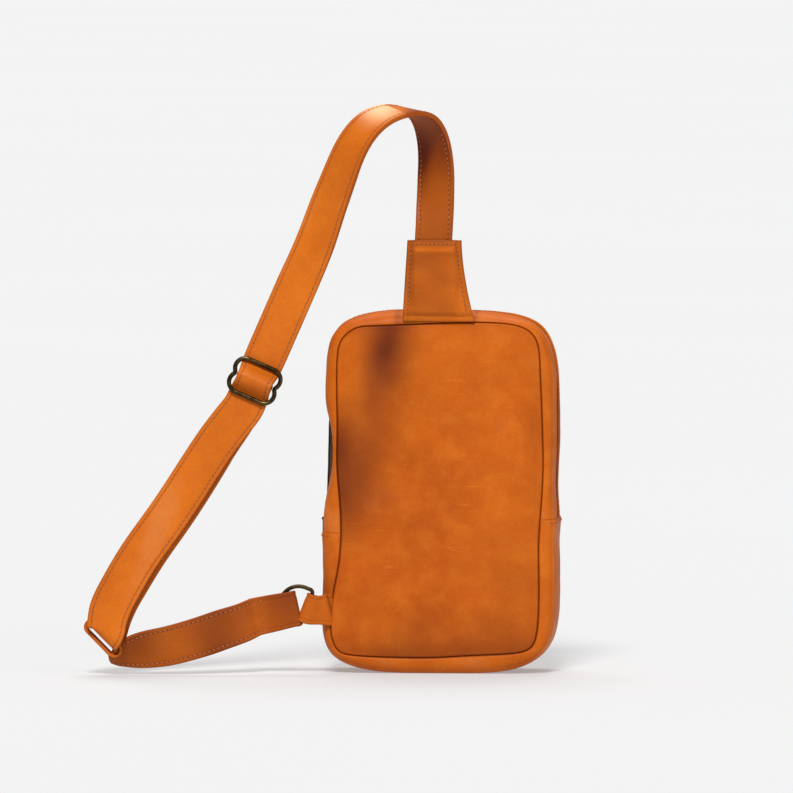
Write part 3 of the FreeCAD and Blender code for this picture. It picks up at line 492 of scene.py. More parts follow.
def depth_run(low, high):
    """Depths across the gusset, closer together where it rolls."""
    share = np.array([
        0, 0.03, 0.06, 0.09, 0.13, 0.18, 0.24, 0.31, 0.39, 0.48, 0.58, 0.68, 0.78, 0.87, 0.94, 0.985, 1,
    ])
    roll = ROLL_Y * (1 - share ** 2) ** (1 / ROLL_POWER)
    edge = SEAM_Y - ROLL_Y
    parts = [-(edge + roll), np.linspace(-edge, edge, 31)[1:-1], (edge + roll)[::-1]]
    every = np.concatenate(parts)
    kept = every[(every > low) & (every < high)]
    return np.concatenate([[low], kept, [high]])


# lengthwise bands of painted shade and painted highlight on the right-hand roll: how dark (pale below
# nought), at which depth, how wide
RIGHT_ROLL_SHADING = [(0.16, -31.5, 1.2), (-0.10, -29.3, 1.2), (0.14, -26.0, 2.0), (0.10, -18.0, 4.0)]


def gusset_burn_and_shading(points, t, y):
    """Burnt in the seams, with painted shade and highlight bands along the roll at the right, painted
    shadows beside the anchor tab and a darker place by the side tab.
    """
    o = outline.at(t)
    burn_shade_highlight = 0.75 * np.exp(-((profile(y) / 0.06) ** 2))
    burn_shade_highlight += 0.03 + 0.06 * waves(points, 6, 45, 11)
    right = smooth((o[..., 0] - 55) / 25)
    for mark, depth, wide in RIGHT_ROLL_SHADING:
        burn_shade_highlight += right * mark * bell(y, depth, wide)
    # painted shadows on the top roll on both sides of the anchor tab
    on_top = o[..., 1] > 270
    burn_shade_highlight += 0.45 * bell(o[..., 0], -31.5, 3.5) * on_top
    burn_shade_highlight += 0.45 * bell(o[..., 0], 30.5, 2.2) * on_top
    burn_shade_highlight += 0.35 * (o[..., 0] < 0) * bell(o[..., 1], 70, 12) * bell(y, -28, 9)
    return np.clip(burn_shade_highlight, -1, 1)


# the strips' rows are this far apart
STRIP_STEP = 1.7
BODY_MIDDLE_Z = 145


def body_side(point):
    return (point[0], 0, point[2] - BODY_MIDDLE_Z)


def strip(t_low, t_high, y_low, y_high, lift_at=None):
    """One length of gusset: its points, how burnt it is there, and their t and y."""
    count = int((t_high - t_low) / STRIP_STEP)
    t = np.linspace(t_low, t_high, count)[:, None]
    y = depth_run(y_low, y_high)[None, :]
    lift = 0.0 if lift_at is None else lift_at(t) + 0 * y
    points = gusset_points(t, y, lift)
    burn_shade_highlight = gusset_burn_and_shading(points, t + 0 * y, y + 0 * t)
    return points, burn_shade_highlight, t, y


# the upper strips run on under the lower gusset's ends
TUCKED = 6
for side, low, high in (("back", -SEAM_Y, -SLOT), ("front", SLOT, SEAM_Y)):
    points, burn_shade_highlight, t, y = strip(T_RIGHT - TUCKED, T_LEFT + TUCKED, low, high)
    free_edge = 0.15 * bell(np.abs(y), SLOT, 0.8)
    burn_shade_highlight = np.clip(burn_shade_highlight + free_edge, -1, 1)
    piece = sheet_of("skin_upper_gusset_" + side, points, gusset_leather, burn_shade_highlight)
    facing_out(piece, body_side)
    thicken(piece, LEATHER)
    dress(piece, "bag", "gusset_leather", "upper_gusset_" + side)


def from_joint(t):
    return np.minimum(np.abs(t - T_LEFT), np.abs(t - (T_RIGHT + T_FULL)))


def turned_edge(t):
    """The lower gusset's folded top edge stands a little over the upper strips."""
    away = from_joint(t)
    return 1.5 * np.sqrt(smooth(away / 1.2)) * (0.45 + 0.55 * np.exp(-away / 5))


points, burn_shade_highlight, t, y = strip(T_LEFT, T_RIGHT + T_FULL, -SEAM_Y, SEAM_Y, turned_edge)
burn_shade_highlight = np.clip(burn_shade_highlight + 0.5 * bell(from_joint(t), 0, 0.8), -1, 1)
piece = sheet_of("skin_lower_gusset", points, gusset_leather, burn_shade_highlight)
facing_out(piece, body_side)
thicken(piece, LEATHER)
dress(piece, "bag", "gusset_leather", "lower_gusset")


# ---------------- panels
def crease(x, z, x_low, x_high, z_low, z_high, left, right):
    """A soft furrow between two heights, steeper on its left."""
    share = (z - z_low) / (z_high - z_low)
    away = x - (x_low + (x_high - x_low) * share)
    wide = np.where(away < 0, left, right)
    ends = smooth((z - z_low + 25) / 50) * smooth((z_high + 12 - z) / 28)
    return np.exp(-((away / wide) ** 2)) * ends


# soft swells (or hollows, below nought): height, then middle and width along x and along z
BACK_SWELLS = [
    (2.6, -62, 11, 232, 34), (2.0, -70, 10, 158, 32), (-1.6, 58, 12, 200, 55),
    (1.2, 30, 22, 110, 60), (-1.3, 62, 22, 84, 22), (-1.0, 6, 40, 42, 14),
]
FRONT_SWELLS = [(-1.8, 40, 16, 205, 45), (-1.4, -30, 30, 90, 20)]
# and painted marks in the same form: darker patches above nought, painted highlights and painted sheen
# below
BACK_PATCHES_AND_HIGHLIGHTS = [
    (-0.12, -67, 9, 238, 30), (-0.07, 58, 16, 200, 32), (-0.05, -42, 10, 128, 26),
    (0.16, 60, 22, 76, 26), (0.12, 76, 8, 200, 60),
]


def swells(x, z, table):
    return sum(
        high * bell(x, at_x, wide_x) * bell(z, at_z, wide_z)
        for high, at_x, wide_x, at_z, wide_z in table
    )


def at_rim(edge):
    """Nought at the panel's seam and one well inside it."""
    return 1 - np.exp(-(edge / 7) ** 1.3)


def back_relief(x, z, edge):
    """How far the wearer's panel stands out of its plane."""
    full = 1 - np.exp(-edge / 16)
    high = 2.6 * full
    high -= 5.2 * crease(x, z, -47, -36, 135, 262, 15, 24)
    high += swells(x, z, BACK_SWELLS)
    p = np.stack([x, z], -1)
    high += 0.55 * waves(p, 9, 70, 21) * full + 0.16 * waves(p, 10, 22, 22) * full
    return high * at_rim(edge)


def front_relief(x, z, edge):
    """The same for the plain panel on the far side."""
    full = 1 - np.exp(-edge / 16)
    p = np.stack([x, z], -1)
    high = 2.4 * full + 0.8 * waves(p, 8, 80, 31) * full
    high += swells(x, z, FRONT_SWELLS)
    return high * at_rim(edge)


def back_shade_and_highlights(x, z, flat):
    """Painted shade in the folds at the left, darker towards the foot, with painted highlights, painted
    sheen and a few darker patches.
    """
    # painted shade down the two folds, at the top and at the lower left
    upper = 0.80 * bell(x + 0.12 * (262 - z), -40, 20) * (0.50 + 0.50 * smooth((z - 205) / 50))
    upper = upper * smooth((z - 150) / 60) * smooth((300 - z) / 24)
    lower = 0.78 * (1 - smooth((x + 86) / 70)) * smooth((z - 92) / 56) * smooth((236 - z) / 62)
    uneven = 1 + 0.06 * waves(flat, 9, 40, 43)
    fold_shade = uneven * (np.maximum(upper, lower) + 0.25 * np.minimum(upper, lower))
    foot = 0.30 * smooth((66 - z) / 46) * smooth((x + 84) / 70) + 0.22 * smooth((34 - z) / 22)
    return fold_shade + foot + swells(x, z, BACK_PATCHES_AND_HIGHLIGHTS)


def panel(side, sign, relief):
    """A panel made of rings that shrink from the seam to an upright spine."""
    half = 240
    up = np.linspace(0, T_TOP, half + 1)[:-1]
    down = np.linspace(T_TOP, T_FULL, half + 1)[:-1]
    t = np.concatenate([up, down])
    seam = outline.at(t)[:, 3:5]
    rings = 1 - np.concatenate([np.linspace(0, 0.10, 30), np.linspace(0.10, 1, 76)[1:]])
    paired = seam[(2 * half - np.arange(2 * half)) % (2 * half), 1]
    spine_z = np.clip((seam[:, 1] + paired) / 2, 78, 216)
    spine = np.column_stack([np.full_like(t, SPINE_X), spine_z])
    flat = spine[None] + rings[:, None, None] * (seam - spine)[None]
    edge = (1 - rings)[:, None] * np.linalg.norm(seam - spine, axis=1)[None]
    x, z = flat[..., 0], flat[..., 1]
    out = relief(x, z, edge) - VALLEY * np.exp(-((edge / VALLEY_WIDE) ** 2))
    points = np.stack([x, sign * (SEAM_Y + out), z], -1)
    burn_shade_highlight = 0.70 * np.exp(-((edge / 0.5) ** 2)) + 0.08 + 0.04 * waves(flat, 7, 55, 41)
    # the back panel also gets painted shade in its folds, painted highlights and painted sheen
    if side == "back":
        burn_shade_highlight += back_shade_and_highlights(x, z, flat)
    burn_shade_highlight += 0.10 * np.exp(-edge / 4)
    piece = sheet_of(
        "skin_%s_panel" % side, points, panel_leather, np.clip(burn_shade_highlight, -1, 1), close_cols=True
    )
    weld(piece)
    facing_out(piece, lambda point: (0, sign, 0))
    thicken(piece, LEATHER)
    dress(piece, "bag", "panel_leather", side + "_panel")


panel("back", -1, back_relief)
panel("front", 1, front_relief)

# ---------------- lining and zipper
t = np.linspace(0, T_FULL, 260, endpoint=False)[:, None]
# it stops short of the seams and lies just inside the leather
LINING_SHORT, LINING_IN, LINING_SHRINK = 4.5, 2.6, 0.985
y = np.linspace(LINING_SHORT - SEAM_Y, SEAM_Y - LINING_SHORT, 26)[None, :]
inside = gusset_points(t, y, -LINING_IN)
middle = np.array([1.0, 147.0])
inside[..., [0, 2]] = middle + (inside[..., [0, 2]] - middle) * LINING_SHRINK
piece = sheet_of("lining_shell", inside, lining_cloth, None, close_rows=True)
LINING_PARTS = ("lower", "upper_back", "upper_front", "back", "front")
dress(piece, "bag", "lining", *("lining_" + part for part in LINING_PARTS))

# how far over the joints the chain ends
CHAIN_END = 4.2


def chain_place(t):
    """The zipper's line: its place, its way along, and the way out, at y = 0."""
    here = gusset_points(t, 0 * t - SLOT)
    ahead = gusset_points(t + 0.5, 0 * t - SLOT)
    along = unit((ahead - here) * [1, 0, 1])
    out = np.stack([along[..., 2], 0 * t, -along[..., 0]], -1)
    # it lies under the strips, but bulges out where the left side has caved in
    shown = smooth((-60 - here[..., 0]) / 20) * smooth((225 - here[..., 2]) / 30)
    cave = outline.at(t)[..., 5]
    sunk = -4.6 + 2.9 * shown + 1.05 * caved(cave, -SLOT)
    place = here * [1, 0, 1] + out * sunk[..., None]
    return place, along, out


t_chain = np.arange(T_RIGHT + CHAIN_END, T_LEFT - CHAIN_END, 0.5)
place, along, out = chain_place(t_chain)
gap = lengths_along(place)


def chain_at(length):
    """Place, along and out at lengths along the chain."""
    at, way, away = (between(length, gap, v) for v in (place, along, out))
    return at, unit(way), unit(away)


# the teeth of the two rows take turns; one tooth is a bar with this outline across it
TOOTH_PITCH, TOOTH_HALF = 2.1, 0.62
TOOTH = np.array([
    (a * TOOTH_HALF, b, c)
    for a in (-1, 1) for b, c in (
        (-0.7, -0.9), (-0.95, 0.1), (-0.5, 1.0), (0.6, 1.05),
        (2.2, 0.75), (2.35, -0.2), (2.1, -0.9),
    )
])
TOOTH_FACES = [tuple(range(7))[::-1], tuple(range(7, 14))]
TOOTH_FACES += [(k, (k + 1) % 7, 7 + (k + 1) % 7, 7 + k) for k in range(7)]
Y_AXIS = np.array([0, 1.0, 0])
for side, sign, first in (("back", -1, 0.0), ("front", 1, TOOTH_PITCH / 2)):
    spots = np.arange(first, gap[-1], TOOTH_PITCH)
    o, a, c = chain_at(spots)
    piece = many(
        "teeth_" + side, TOOTH, TOOTH_FACES,
        [(o[k], a[k], Y_AXIS * sign, c[k]) for k in range(len(spots))], brass,
    )
    piece.data.polygons.foreach_set("use_smooth", [False] * len(piece.data.polygons))
    dress(piece, "bag", "metal", "zipper_teeth_" + side)
    # the tape leaves the teeth level and then follows the strip's underside
    t_tape = np.linspace(T_RIGHT + CHAIN_END, T_LEFT - CHAIN_END, 330)
    across = np.array([0.5, 1.6, 2.6, 4.0, 5.5, 7.5, 10, 13])[None, :]
    chain, _, chain_out = chain_place(t_tape)
    level = chain[:, None] + across[..., None] * Y_AXIS * sign
    level = level - 0.4 * chain_out[:, None]
    under = gusset_points(t_tape[:, None], sign * across, -3.0)
    share = smooth((across - 2) / 5)[..., None]
    cloth = level * (1 - share) + under * share
    piece = sheet_of("tape_" + side, cloth, tape_cloth, None)
    thicken(piece, 0.6)
    dress(piece, "bag", "tape", "zipper_tape_" + side)


# ---------------- stitches
STITCH, STITCH_FACES = pill(2.7, 0.85, 0.55)
# each stitch is turned to the line between these lengths before and after its middle
STITCH_REACH = 1.2
HOLE_RADIUS = 0.30
HOLE = np.array([
    (HOLE_RADIUS * math.cos(a), HOLE_RADIUS * math.sin(a), 0.0)
    for a in np.linspace(0, 2 * math.pi, 9)[:-1]
])
hole_dark = plain_grain("needle_hole", (0.06, 0.015, 0.005), (0.008, 0.003, 0.002), 700, (0.8, 0.95))


def carry(piece, body):
    """Lets a piece ride one body, or leaves it fixed where it is in the world."""
    if body:
        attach(piece, body)
    else:
        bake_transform(piece)


def sew(name, line, normal, body=None, pitch=3.9):
    """Stitches with needle holes between them along a line of points."""
    step = lengths_along(line)
    spots = np.arange(1.0, step[-1] - STITCH_REACH, pitch)
    o = between(spots, step, line)
    way = unit(between(spots + STITCH_REACH, step, line) - between(spots - STITCH_REACH, step, line))
    side = unit(np.cross(unit(between(spots, step, normal)), way))
    up = np.cross(way, side)
    holes = o + way * (pitch / 2) + up * 0.10
    turns = np.stack([way, side, up], 1)
    long_way = turns * [[1.5], [1], [1]]
    points = [o[k] + STITCH @ turns[k] for k in range(len(o))]
    points += [holes[k] + HOLE @ long_way[k] for k in range(len(o))]
    count = len(STITCH)
    every = [tuple(k * count + v for v in f) for k in range(len(o)) for f in STITCH_FACES]
    picks = [0] * len(every) + [1] * len(o)
    base = len(o) * count
    every += [tuple(base + k * len(HOLE) + v for v in range(len(HOLE))) for k in range(len(o))]
    piece = make(name, np.concatenate(points), every, [thread, hole_dark], picks=picks)
    carry(piece, body)


def normals_of(grid):
    return unit(np.cross(np.gradient(grid, axis=0), np.gradient(grid, axis=1)))


for label, t_joint, turn in (("left", T_LEFT, 3.2), ("right", T_RIGHT + T_FULL, -3.2)):
    y = np.linspace(-SEAM_Y + 1.2, SEAM_Y - 1.2, 90)
    t = np.full_like(y, t_joint + turn)
    line = gusset_points(t, y, turned_edge(t) + 0.15)
    inner = gusset_points(t, y, -2)
    sew("stitches_joint_" + label, line, line - inner, "bag")
for side, sign in (("back", -1), ("front", 1)):
    t = np.linspace(T_RIGHT + 3, T_LEFT - 3, 500)
    y = np.full_like(t, sign * (SLOT + 2.6))
    line = gusset_points(t, y, -0.25)
    sew("stitches_zipper_" + side, line, line - gusset_points(t, y, -2), "bag")


# ---------------- straps
FACE_POINTS, EDGE_POINTS = 31, 7
EDGE_ROUND = 0.55


def section(half, thick, channel=3.4, layers=2):
    """A strap's cross-section: round burnished edges and a channel for each seam."""
    flat = half - EDGE_ROUND
    a = np.linspace(-flat, flat, FACE_POINTS)
    dome = 0.22 * (1 - (a / half) ** 2)
    groove = 0.30 * bell(np.abs(a), half - channel, 0.75)
    lip = 0.16 * bell(np.abs(a), half - 1.4, 0.8)
    top = thick + dome - groove + lip
    burn_shade_highlight = 0.02 + 0.16 * bell(np.abs(a), half - channel, 0.6) + 0.30 * bell(np.abs(a), half, 0.7)
    turn = np.linspace(90, -90, EDGE_POINTS + 2)[1:-1] * math.pi / 180
    edge_b = thick * np.sin(turn)
    edge_a = flat + EDGE_ROUND * np.cos(turn)
    # two layers show the line between them
    if layers == 2:
        edge_a = edge_a - 0.30 * bell(edge_b, 0, 0.35)
    edge_burn = np.full_like(edge_b, 0.34)
    side_a = np.concatenate([a, edge_a, a[::-1], -edge_a])
    side_b = np.concatenate([top, edge_b, -top, -edge_b])
    shade = np.concatenate([burn_shade_highlight, edge_burn, burn_shade_highlight[::-1], edge_burn])
    return side_a, side_b, shade


def relax(rows, times):
    """Evens out rows of vectors in place and keeps the two ends."""
    for _ in range(times):
        rows[1:-1] = (rows[:-2] + 2 * rows[1:-1] + rows[2:]) / 4


def frames(*groups, step=1.6, ease=12):
    """Middles, across and out vectors and half widths along a strap.

    A station is a place, the way across and the half width there. Each group of
    stations is a spline of its own; groups meet at a shared station."""
    middles, acrosses = [], []
    for stations in groups:
        curve = Curve([s[0] for s in stations])
        across_at = [unit(s[1]) * s[2] for s in stations]
        t = np.linspace(0, curve.t[-1], max(8, int(curve.t[-1] / step)))
        if middles:
            t = t[1:]
        middles.append(curve.at(t))
        acrosses.append(between(t, curve.t, np.array(across_at)))
    middle, across = np.concatenate(middles), np.concatenate(acrosses)
    if len(groups) > 1:
        relax(middle, 3)
    way = unit(np.gradient(middle, axis=0))
    # the twist has no corners
    relax(across, ease)
    half = np.linalg.norm(across, axis=1)
    across = unit(across - way * np.sum(across * way, axis=1, keepdims=True))
    out = np.cross(way, across)
    return middle, across, out, half


def strap(name, path, thick, replaces, body=None, layers=2, ends=(True, True),
          channel=3.4, extra=None, sewn=True, warp=None):
    """A length of strap with its edges, seams and stitches.

    extra adds to how burnt the leather is at each point, painted shade and painted highlights included,
    and warp moves the points."""
    middle, across, out, half = path
    rings = [section(h, thick, channel, layers) for h in half]
    side_a, side_b, burn_shade_highlight = (np.array(v) for v in zip(*rings))
    grid = middle[:, None] + side_a[..., None] * across[:, None] + side_b[..., None] * out[:, None]
    rows, cols = side_a.shape
    burn_shade_highlight = burn_shade_highlight + 0.06 * waves(grid, 7, 60, 51) + 0.02
    if extra is not None:
        face_share = np.ones(FACE_POINTS)
        edge_share = np.full(EDGE_POINTS, 0.3)
        burn_shade_highlight += extra(grid) * np.concatenate([face_share, edge_share, face_share, edge_share])
    if warp is not None:
        grid = warp(grid)
    faces = grid_faces(rows, cols, close_cols=True)
    if ends[0]:
        faces.append(tuple(range(cols))[::-1])
    if ends[1]:
        faces.append(tuple((rows - 1) * cols + j for j in range(cols)))
    piece = make(name, grid.reshape(-1, 3), faces, [strap_leather], np.clip(burn_shade_highlight, -1, 1))
    piece.data.validate()
    carry(piece, body)
    if replaces:
        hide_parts(*replaces)
    if not sewn:
        return
    for face, tag in ((1, "f"), (-1, "b")):
        for turn, label in ((-1, "a"), (1, "b")):
            line = middle + across * (turn * (half - channel))[:, None]
            line = line + out * (face * (thick - 0.02))
            row = "stitches_%s_%s%s" % (name, label, tag)
            sew(row, line, out * face, body)


def cut(path, low, high):
    return tuple(v[low:high] for v in path)


# the run through the adjuster is measured from the CAD's centre bar
bar_low, bar_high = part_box("adjuster_bar")
bar_middle = np.array((bar_low + bar_high) / 2) / MM
RUN_UP = unit(np.array([37.0, 5, 85]))
RUN_OUT = unit(np.cross(RUN_UP, [-0.9168, 0, 0.3992]))
RUN_ACROSS = np.cross(RUN_UP, RUN_OUT)
WIRE, STRAP_LEATHER, END_FOLD, BAR_CLEAR = 1.8, 1.9, 2.85, 1
FRAME_OUT = WIRE + STRAP_LEATHER + 0.7
RUN_MIDDLE = bar_middle - RUN_OUT * FRAME_OUT
HALF = 16.4
THICK = 1.93


def on_run(y, z=0.0):
    return RUN_MIDDLE + RUN_UP * y + RUN_OUT * z


TAB_Y = -39.3
# stations (place, way across, half width) up from the anchor tab and over the shoulder
ARCH = [
    ((-3.2, TAB_Y, 309), (1, 0, 0), 14.2), ((-3.2, TAB_Y, 317), (1, 0, 0), 14.3),
    ((-3.2, TAB_Y, 326), (1, 0, 0), 14.5), ((-3.0, TAB_Y, 337), (1, 0, 0), 14.7),
    ((-2.6, TAB_Y, 347), (1, 0, 0), 14.9), ((-2.0, -38.3, 359), (0.99, -0.10, 0.02), 15.0),
    ((-1.6, -35.5, 372), (0.97, -0.23, 0.04), 15.5), ((-1.3, -30.0, 398), (0.89, -0.45, 0.09)),
    ((-3.2, -29.7, 424), (0.78, -0.62, 0.08)), ((-11.4, -39.2, 444.2), (0.67, -0.74, -0.02)),
    ((-29.6, -55.0, 449.4), (0.62, -0.76, -0.19)), ((-50.0, -67.0, 441), (0.64, -0.71, -0.30)),
    ((-65.4, -70.8, 421.2), (0.69, -0.63, -0.35)), ((-75.6, -68.0, 397.3), (0.76, -0.53, -0.37)),
    ((-85.2, -63.5, 372.7), (0.83, -0.42, -0.37)), ((-95.2, -60.5, 345), (0.88, -0.28, -0.38)),
]
LIFT = FRAME_OUT + END_FOLD + BAR_CLEAR + STRAP_LEATHER + 0.05
REACH = 12.3
# the strap rises over the centre bar and narrows where it passes through the frame
run = []
for y in (84, 66, 48, 34, 22, 16, 12, 9.5, 7, 4.5, 2.2, 0, -2.2, -4.5, -7, -9.5, -12, -16, -21):
    rise = LIFT / 2 * (1 + math.cos(math.pi * y / REACH)) if abs(y) < REACH else 0.0
    run.append((tuple(on_run(y, rise)), tuple(RUN_ACROSS), HALF - 2.0 * math.exp(-((y / 9) ** 2))))
run.append(((-157.4, -65.7, 207.4), (0.88, 0, -0.47), HALF))
FOLD_LEAN = math.radians(45.5)
FOLD_ACROSS = np.array([math.cos(FOLD_LEAN), 0, -math.sin(FOLD_LEAN)])
FOLD_DOWN = np.array([-math.sin(FOLD_LEAN), 0, -math.cos(FOLD_LEAN)])
LINK = np.array([-265.0, -62, 30.2])
HALF_GAP = 10.6
MIDDLE_OUT = HALF_GAP + 1.95
FOLD_DEPTH = 4.9
LOWEST = 2.95
NEAR = np.array([0, -1.0, 0])


def on_fold(out, down):
    return LINK + FOLD_DOWN * (down - FOLD_DEPTH) + NEAR * out


LEG = [
    ((-171.0, -66.5, 190), (0.86, 0, -0.51)), ((-193.7, -68.5, 155.7), (0.84, 0, -0.55)),
    ((-215.6, -70.5, 122.9), (0.84, 0, -0.55)), ((-236.0, -72.0, 94.0), (0.86, 0, -0.51)),
    ((-250.5, -73.2, 69.2), (0.90, 0, -0.43)), ((-258.5, -73.9, 52.0), (0.86, 0, -0.51)),
]
FOLD = [
    (tuple(on_fold(out, down)), tuple(FOLD_ACROSS))
    for out, down in (
        (MIDDLE_OUT, 0), (MIDDLE_OUT - 0.9, 2.1), (MIDDLE_OUT - 3.2, LOWEST), (5, LOWEST), (0, LOWEST),
        (-5, LOWEST), (3.2 - MIDDLE_OUT, LOWEST), (0.9 - MIDDLE_OUT, 2.1), (-MIDDLE_OUT, 0),
    )
]
BACK_LEG = [
    ((-256.5, -50.4, 52.0), (0.86, 0, -0.51)), ((-247.0, -51.2, 70.0), (0.90, 0, -0.43)),
    ((-231.0, -53.0, 96.0), (0.86, 0, -0.51)), ((-210.0, -55.0, 126.0), (0.84, 0, -0.55)),
]
RETURN = [
    ((-175.5, -61.0, 180), (0.86, 0, -0.51)), ((-160.0, -60.5, 202), tuple(RUN_ACROSS)),
    (tuple(on_run(-20, -5)), tuple(RUN_ACROSS)), (tuple(on_run(-12, -4.6)), tuple(RUN_ACROSS)),
]
RETURN_HALF = (16, 15.4, 14.8, 14.7)
FOLD_HALF = 15.2


def wide(stations, half=HALF):
    """Stations with a half width; those that have one keep it."""
    return [(*station[:2], station[2] if len(station) > 2 else half) for station in stations]


whole = frames(
    wide(ARCH + run[:5]),
    wide(run[4:18]),
    wide(run[17:] + LEG) + wide(FOLD[:1], FOLD_HALF),
    wide(FOLD, FOLD_HALF),
    wide(FOLD[-1:], FOLD_HALF) + wide(BACK_LEG + RETURN[:1]),
    [(*station, half) for station, half in zip(RETURN, RETURN_HALF)],
)
middle = whole[0]


def nearest(point, low=0):
    """The strap's station nearest to a point, from a station onwards."""
    return low + int(np.argmin(np.linalg.norm(middle[low:] - np.asarray(point), axis=1)))


apex = nearest((-33.3, -55, 450.5))
run_top = nearest(on_run(88))
weave = nearest(on_run(0, LIFT))
leg_cut = nearest(LEG[2][0], weave)
link_low = nearest(on_fold(0, LOWEST))
back_cut = nearest(BACK_LEG[2][0], link_low)


def arch_inside_shade(grid):
    """Painted shade on the inner face of the shoulder arch's rising leg, darkest high up."""
    inner = smooth((grid[..., 0] + 30) / 14)
    inside_shade = 0.50 + 0.30 * bell(grid[..., 2], 424, 26)
    return inner * (inside_shade + 0.34 * bell(grid[..., 2], 408, 26) * bell(grid[..., 0], -13, 7))


def apex_highlight(grid):
    """A painted highlight on the top of the arch."""
    return -0.85 * bell(grid[..., 2], 453, 11) * bell(grid[..., 0], -44, 18)


def lower_strap_darker(grid):
    """The short lower strap is darker all over, a little unevenly."""
    return 0.54 + 0.16 * waves(grid, 5, 60, 77)


# lengths that go on into the next one have no end faces
FREE = (False, False)
strap(
    "strap_shoulder", cut(whole, 0, apex + 1), THICK, ("strap_face_upper", "strap_back_upper"),
    ends=(True, False), extra=arch_inside_shade,
)
strap("strap_arch", cut(whole, apex, run_top + 1), THICK, (), "strap", ends=FREE, extra=apex_highlight)
strap(
    "strap_weave_upper", cut(whole, run_top, weave + 1), THICK, ("strap_face_run", "strap_back_run"),
    ends=FREE,
)
strap(
    "strap_weave_lower", cut(whole, weave, leg_cut + 1), THICK, (),
    ends=FREE,
)
LINK_NODES = [
    "strap_%s_%s" % (layer, length)
    for length in ("leg", "fold", "return") for layer in ("face", "back")
]
strap("strap_link", cut(whole, leg_cut, back_cut + 1), THICK, LINK_NODES, "strap", ends=FREE)
strap(
    "strap_return_end", cut(whole, back_cut, None), THICK,
    ("strap_face_return_end", "strap_back_return_end"),
    ends=(False, True),
)

# the end of the strap, thinned and sewn round the centre bar
END_HALF, WRAP_RADIUS = 14.7, 2.25
wrap = []
for degrees in range(240, -61, -20):
    angle = math.radians(degrees)
    round_bar = RUN_UP * (WRAP_RADIUS * math.cos(angle)) + RUN_OUT * (WRAP_RADIUS * math.sin(angle))
    wrap.append(bar_middle + round_bar)
tail = on_run(-11, -4.4)
wrap = [tail - RUN_OUT * 0.6, *wrap, tail + RUN_OUT * 0.7]
stations = [(tuple(place), tuple(RUN_ACROSS), END_HALF) for place in wrap]
strap("end_fold", frames(stations, step=0.7), 0.6, ("strap_end_fold",), "adjuster", layers=1, sewn=False)

# ---------------- lower strap and link
TILT = math.radians(12)
RING_FOLD = np.array([-114.0, TAB_Y, 51.9])
LOWER_UP = np.array([-math.sin(TILT), 0, math.cos(TILT)])
LOWER_WAY = np.array([-math.cos(TILT), 0, -math.sin(TILT)])
LOWER_OUT = np.cross(LOWER_UP, LOWER_WAY)


def on_lower(way, out):
    return tuple(RING_FOLD + LOWER_WAY * way + LOWER_OUT * out)


# one side of the fold round the ring: along the strap, outwards and the half width
near_side = [
    (34, -1.0, 15.2), (27, -1.0, 15.1), (19, -1.9, 14.9), (12, -2.8, 14.6), (6, -2.95, 14.3),
    (0, -2.95, 14.2), (-2.1, -2.1, 14.2),
]
far_side = [(way, -out, half) for way, out, half in near_side[::-1]]
ring_loop = [
    (on_lower(way, out), tuple(LOWER_UP), half)
    for way, out, half in near_side + [(-2.95, 0, 14.2)] + far_side
]
strap(
    "lower_fold", frames(ring_loop, step=0.9), 0.93, (), "strap", layers=1, channel=3.2,
    sewn=False, extra=lower_strap_darker,
)
LOWER = [
    (on_lower(24, 0), tuple(LOWER_UP), 15.0), (on_lower(30, 0), tuple(LOWER_UP), 15.2),
    ((-151.8, -46.0, 42.2), (-0.27, 0, 0.963), 15.5), ((-170.0, -51.0, 36.0), (-0.30, 0, 0.954), 16.2),
    ((-182.0, -54.5, 31.9), (-0.29, 0, 0.957), 16.3), ((-196.0, -57.0, 27.6), (-0.26, 0, 0.965), 16.1),
    ((-214.0, -58.8, 23.0), (-0.2, 0, 0.98), 15.9), ((-229.0, -60.2, 20.6), (-0.12, -0.15, 0.98), 15.4),
    ((-241.0, -61.0, 18.4), (-0.2, -0.4, 0.9), 14.6), ((-250.5, -61.6, 15.4), (-0.45, -0.6, 0.7), 12.4),
    ((-256.0, -62.0, 13.2), (-0.6, -0.75, 0.35), 8.6),
    ((-259.5, -62.0, 12.4), (-0.6, -0.78, 0.2), 5.0),
]
strap("lower_band", frames(LOWER, step=1.5), THICK, ("lower_strap",), "strap", extra=lower_strap_darker)

# the closed loop at its far end, which holds the shoulder strap's fold
LOOP_LONG, LOOP_NEAR, LOOP_FAR = 17.9, -5.6, 5.0
LOOP_HALF, LOOP_THICK, LOOP_SHIFT = 7.5, 1.05, 1.0
radius = (LOOP_FAR - LOOP_NEAR) / 2
centre = (LOOP_FAR + LOOP_NEAR) / 2
ring_points = []
for side in (1, -1):
    for s in np.linspace(-1, 1, 7):
        ring_points.append((side * s * (LOOP_LONG - radius), side * radius))
    for degrees in range(75, -90, -30):
        angle = math.radians(degrees)
        long_way = LOOP_LONG - radius + radius * math.cos(angle)
        ring_points.append((side * long_way, side * radius * math.sin(angle)))
loop_line = np.array([
    LINK + FOLD_ACROSS * (a + LOOP_SHIFT) + FOLD_DOWN * (centre + d) for a, d in ring_points
])
loop = Curve(loop_line, True)
t = np.linspace(0, loop.t[-1], 110, endpoint=False)
middle_line = loop.at(t)
way = unit(loop.at(t + 0.2) - loop.at(t - 0.2))
a, b, shade = section(LOOP_HALF, LOOP_THICK, 2.6, 1)
out = np.cross(way, NEAR)
grid = middle_line[:, None] + a[None, :, None] * NEAR + b[None, :, None] * out[:, None]
burn_shade_highlight = np.clip(0.8 * shade[None] + 0 * t[:, None], 0, 1)
piece = sheet_of("link_loop", grid, strap_leather, burn_shade_highlight, close_rows=True, close_cols=True)
dress(piece, "strap", "strap_leather")

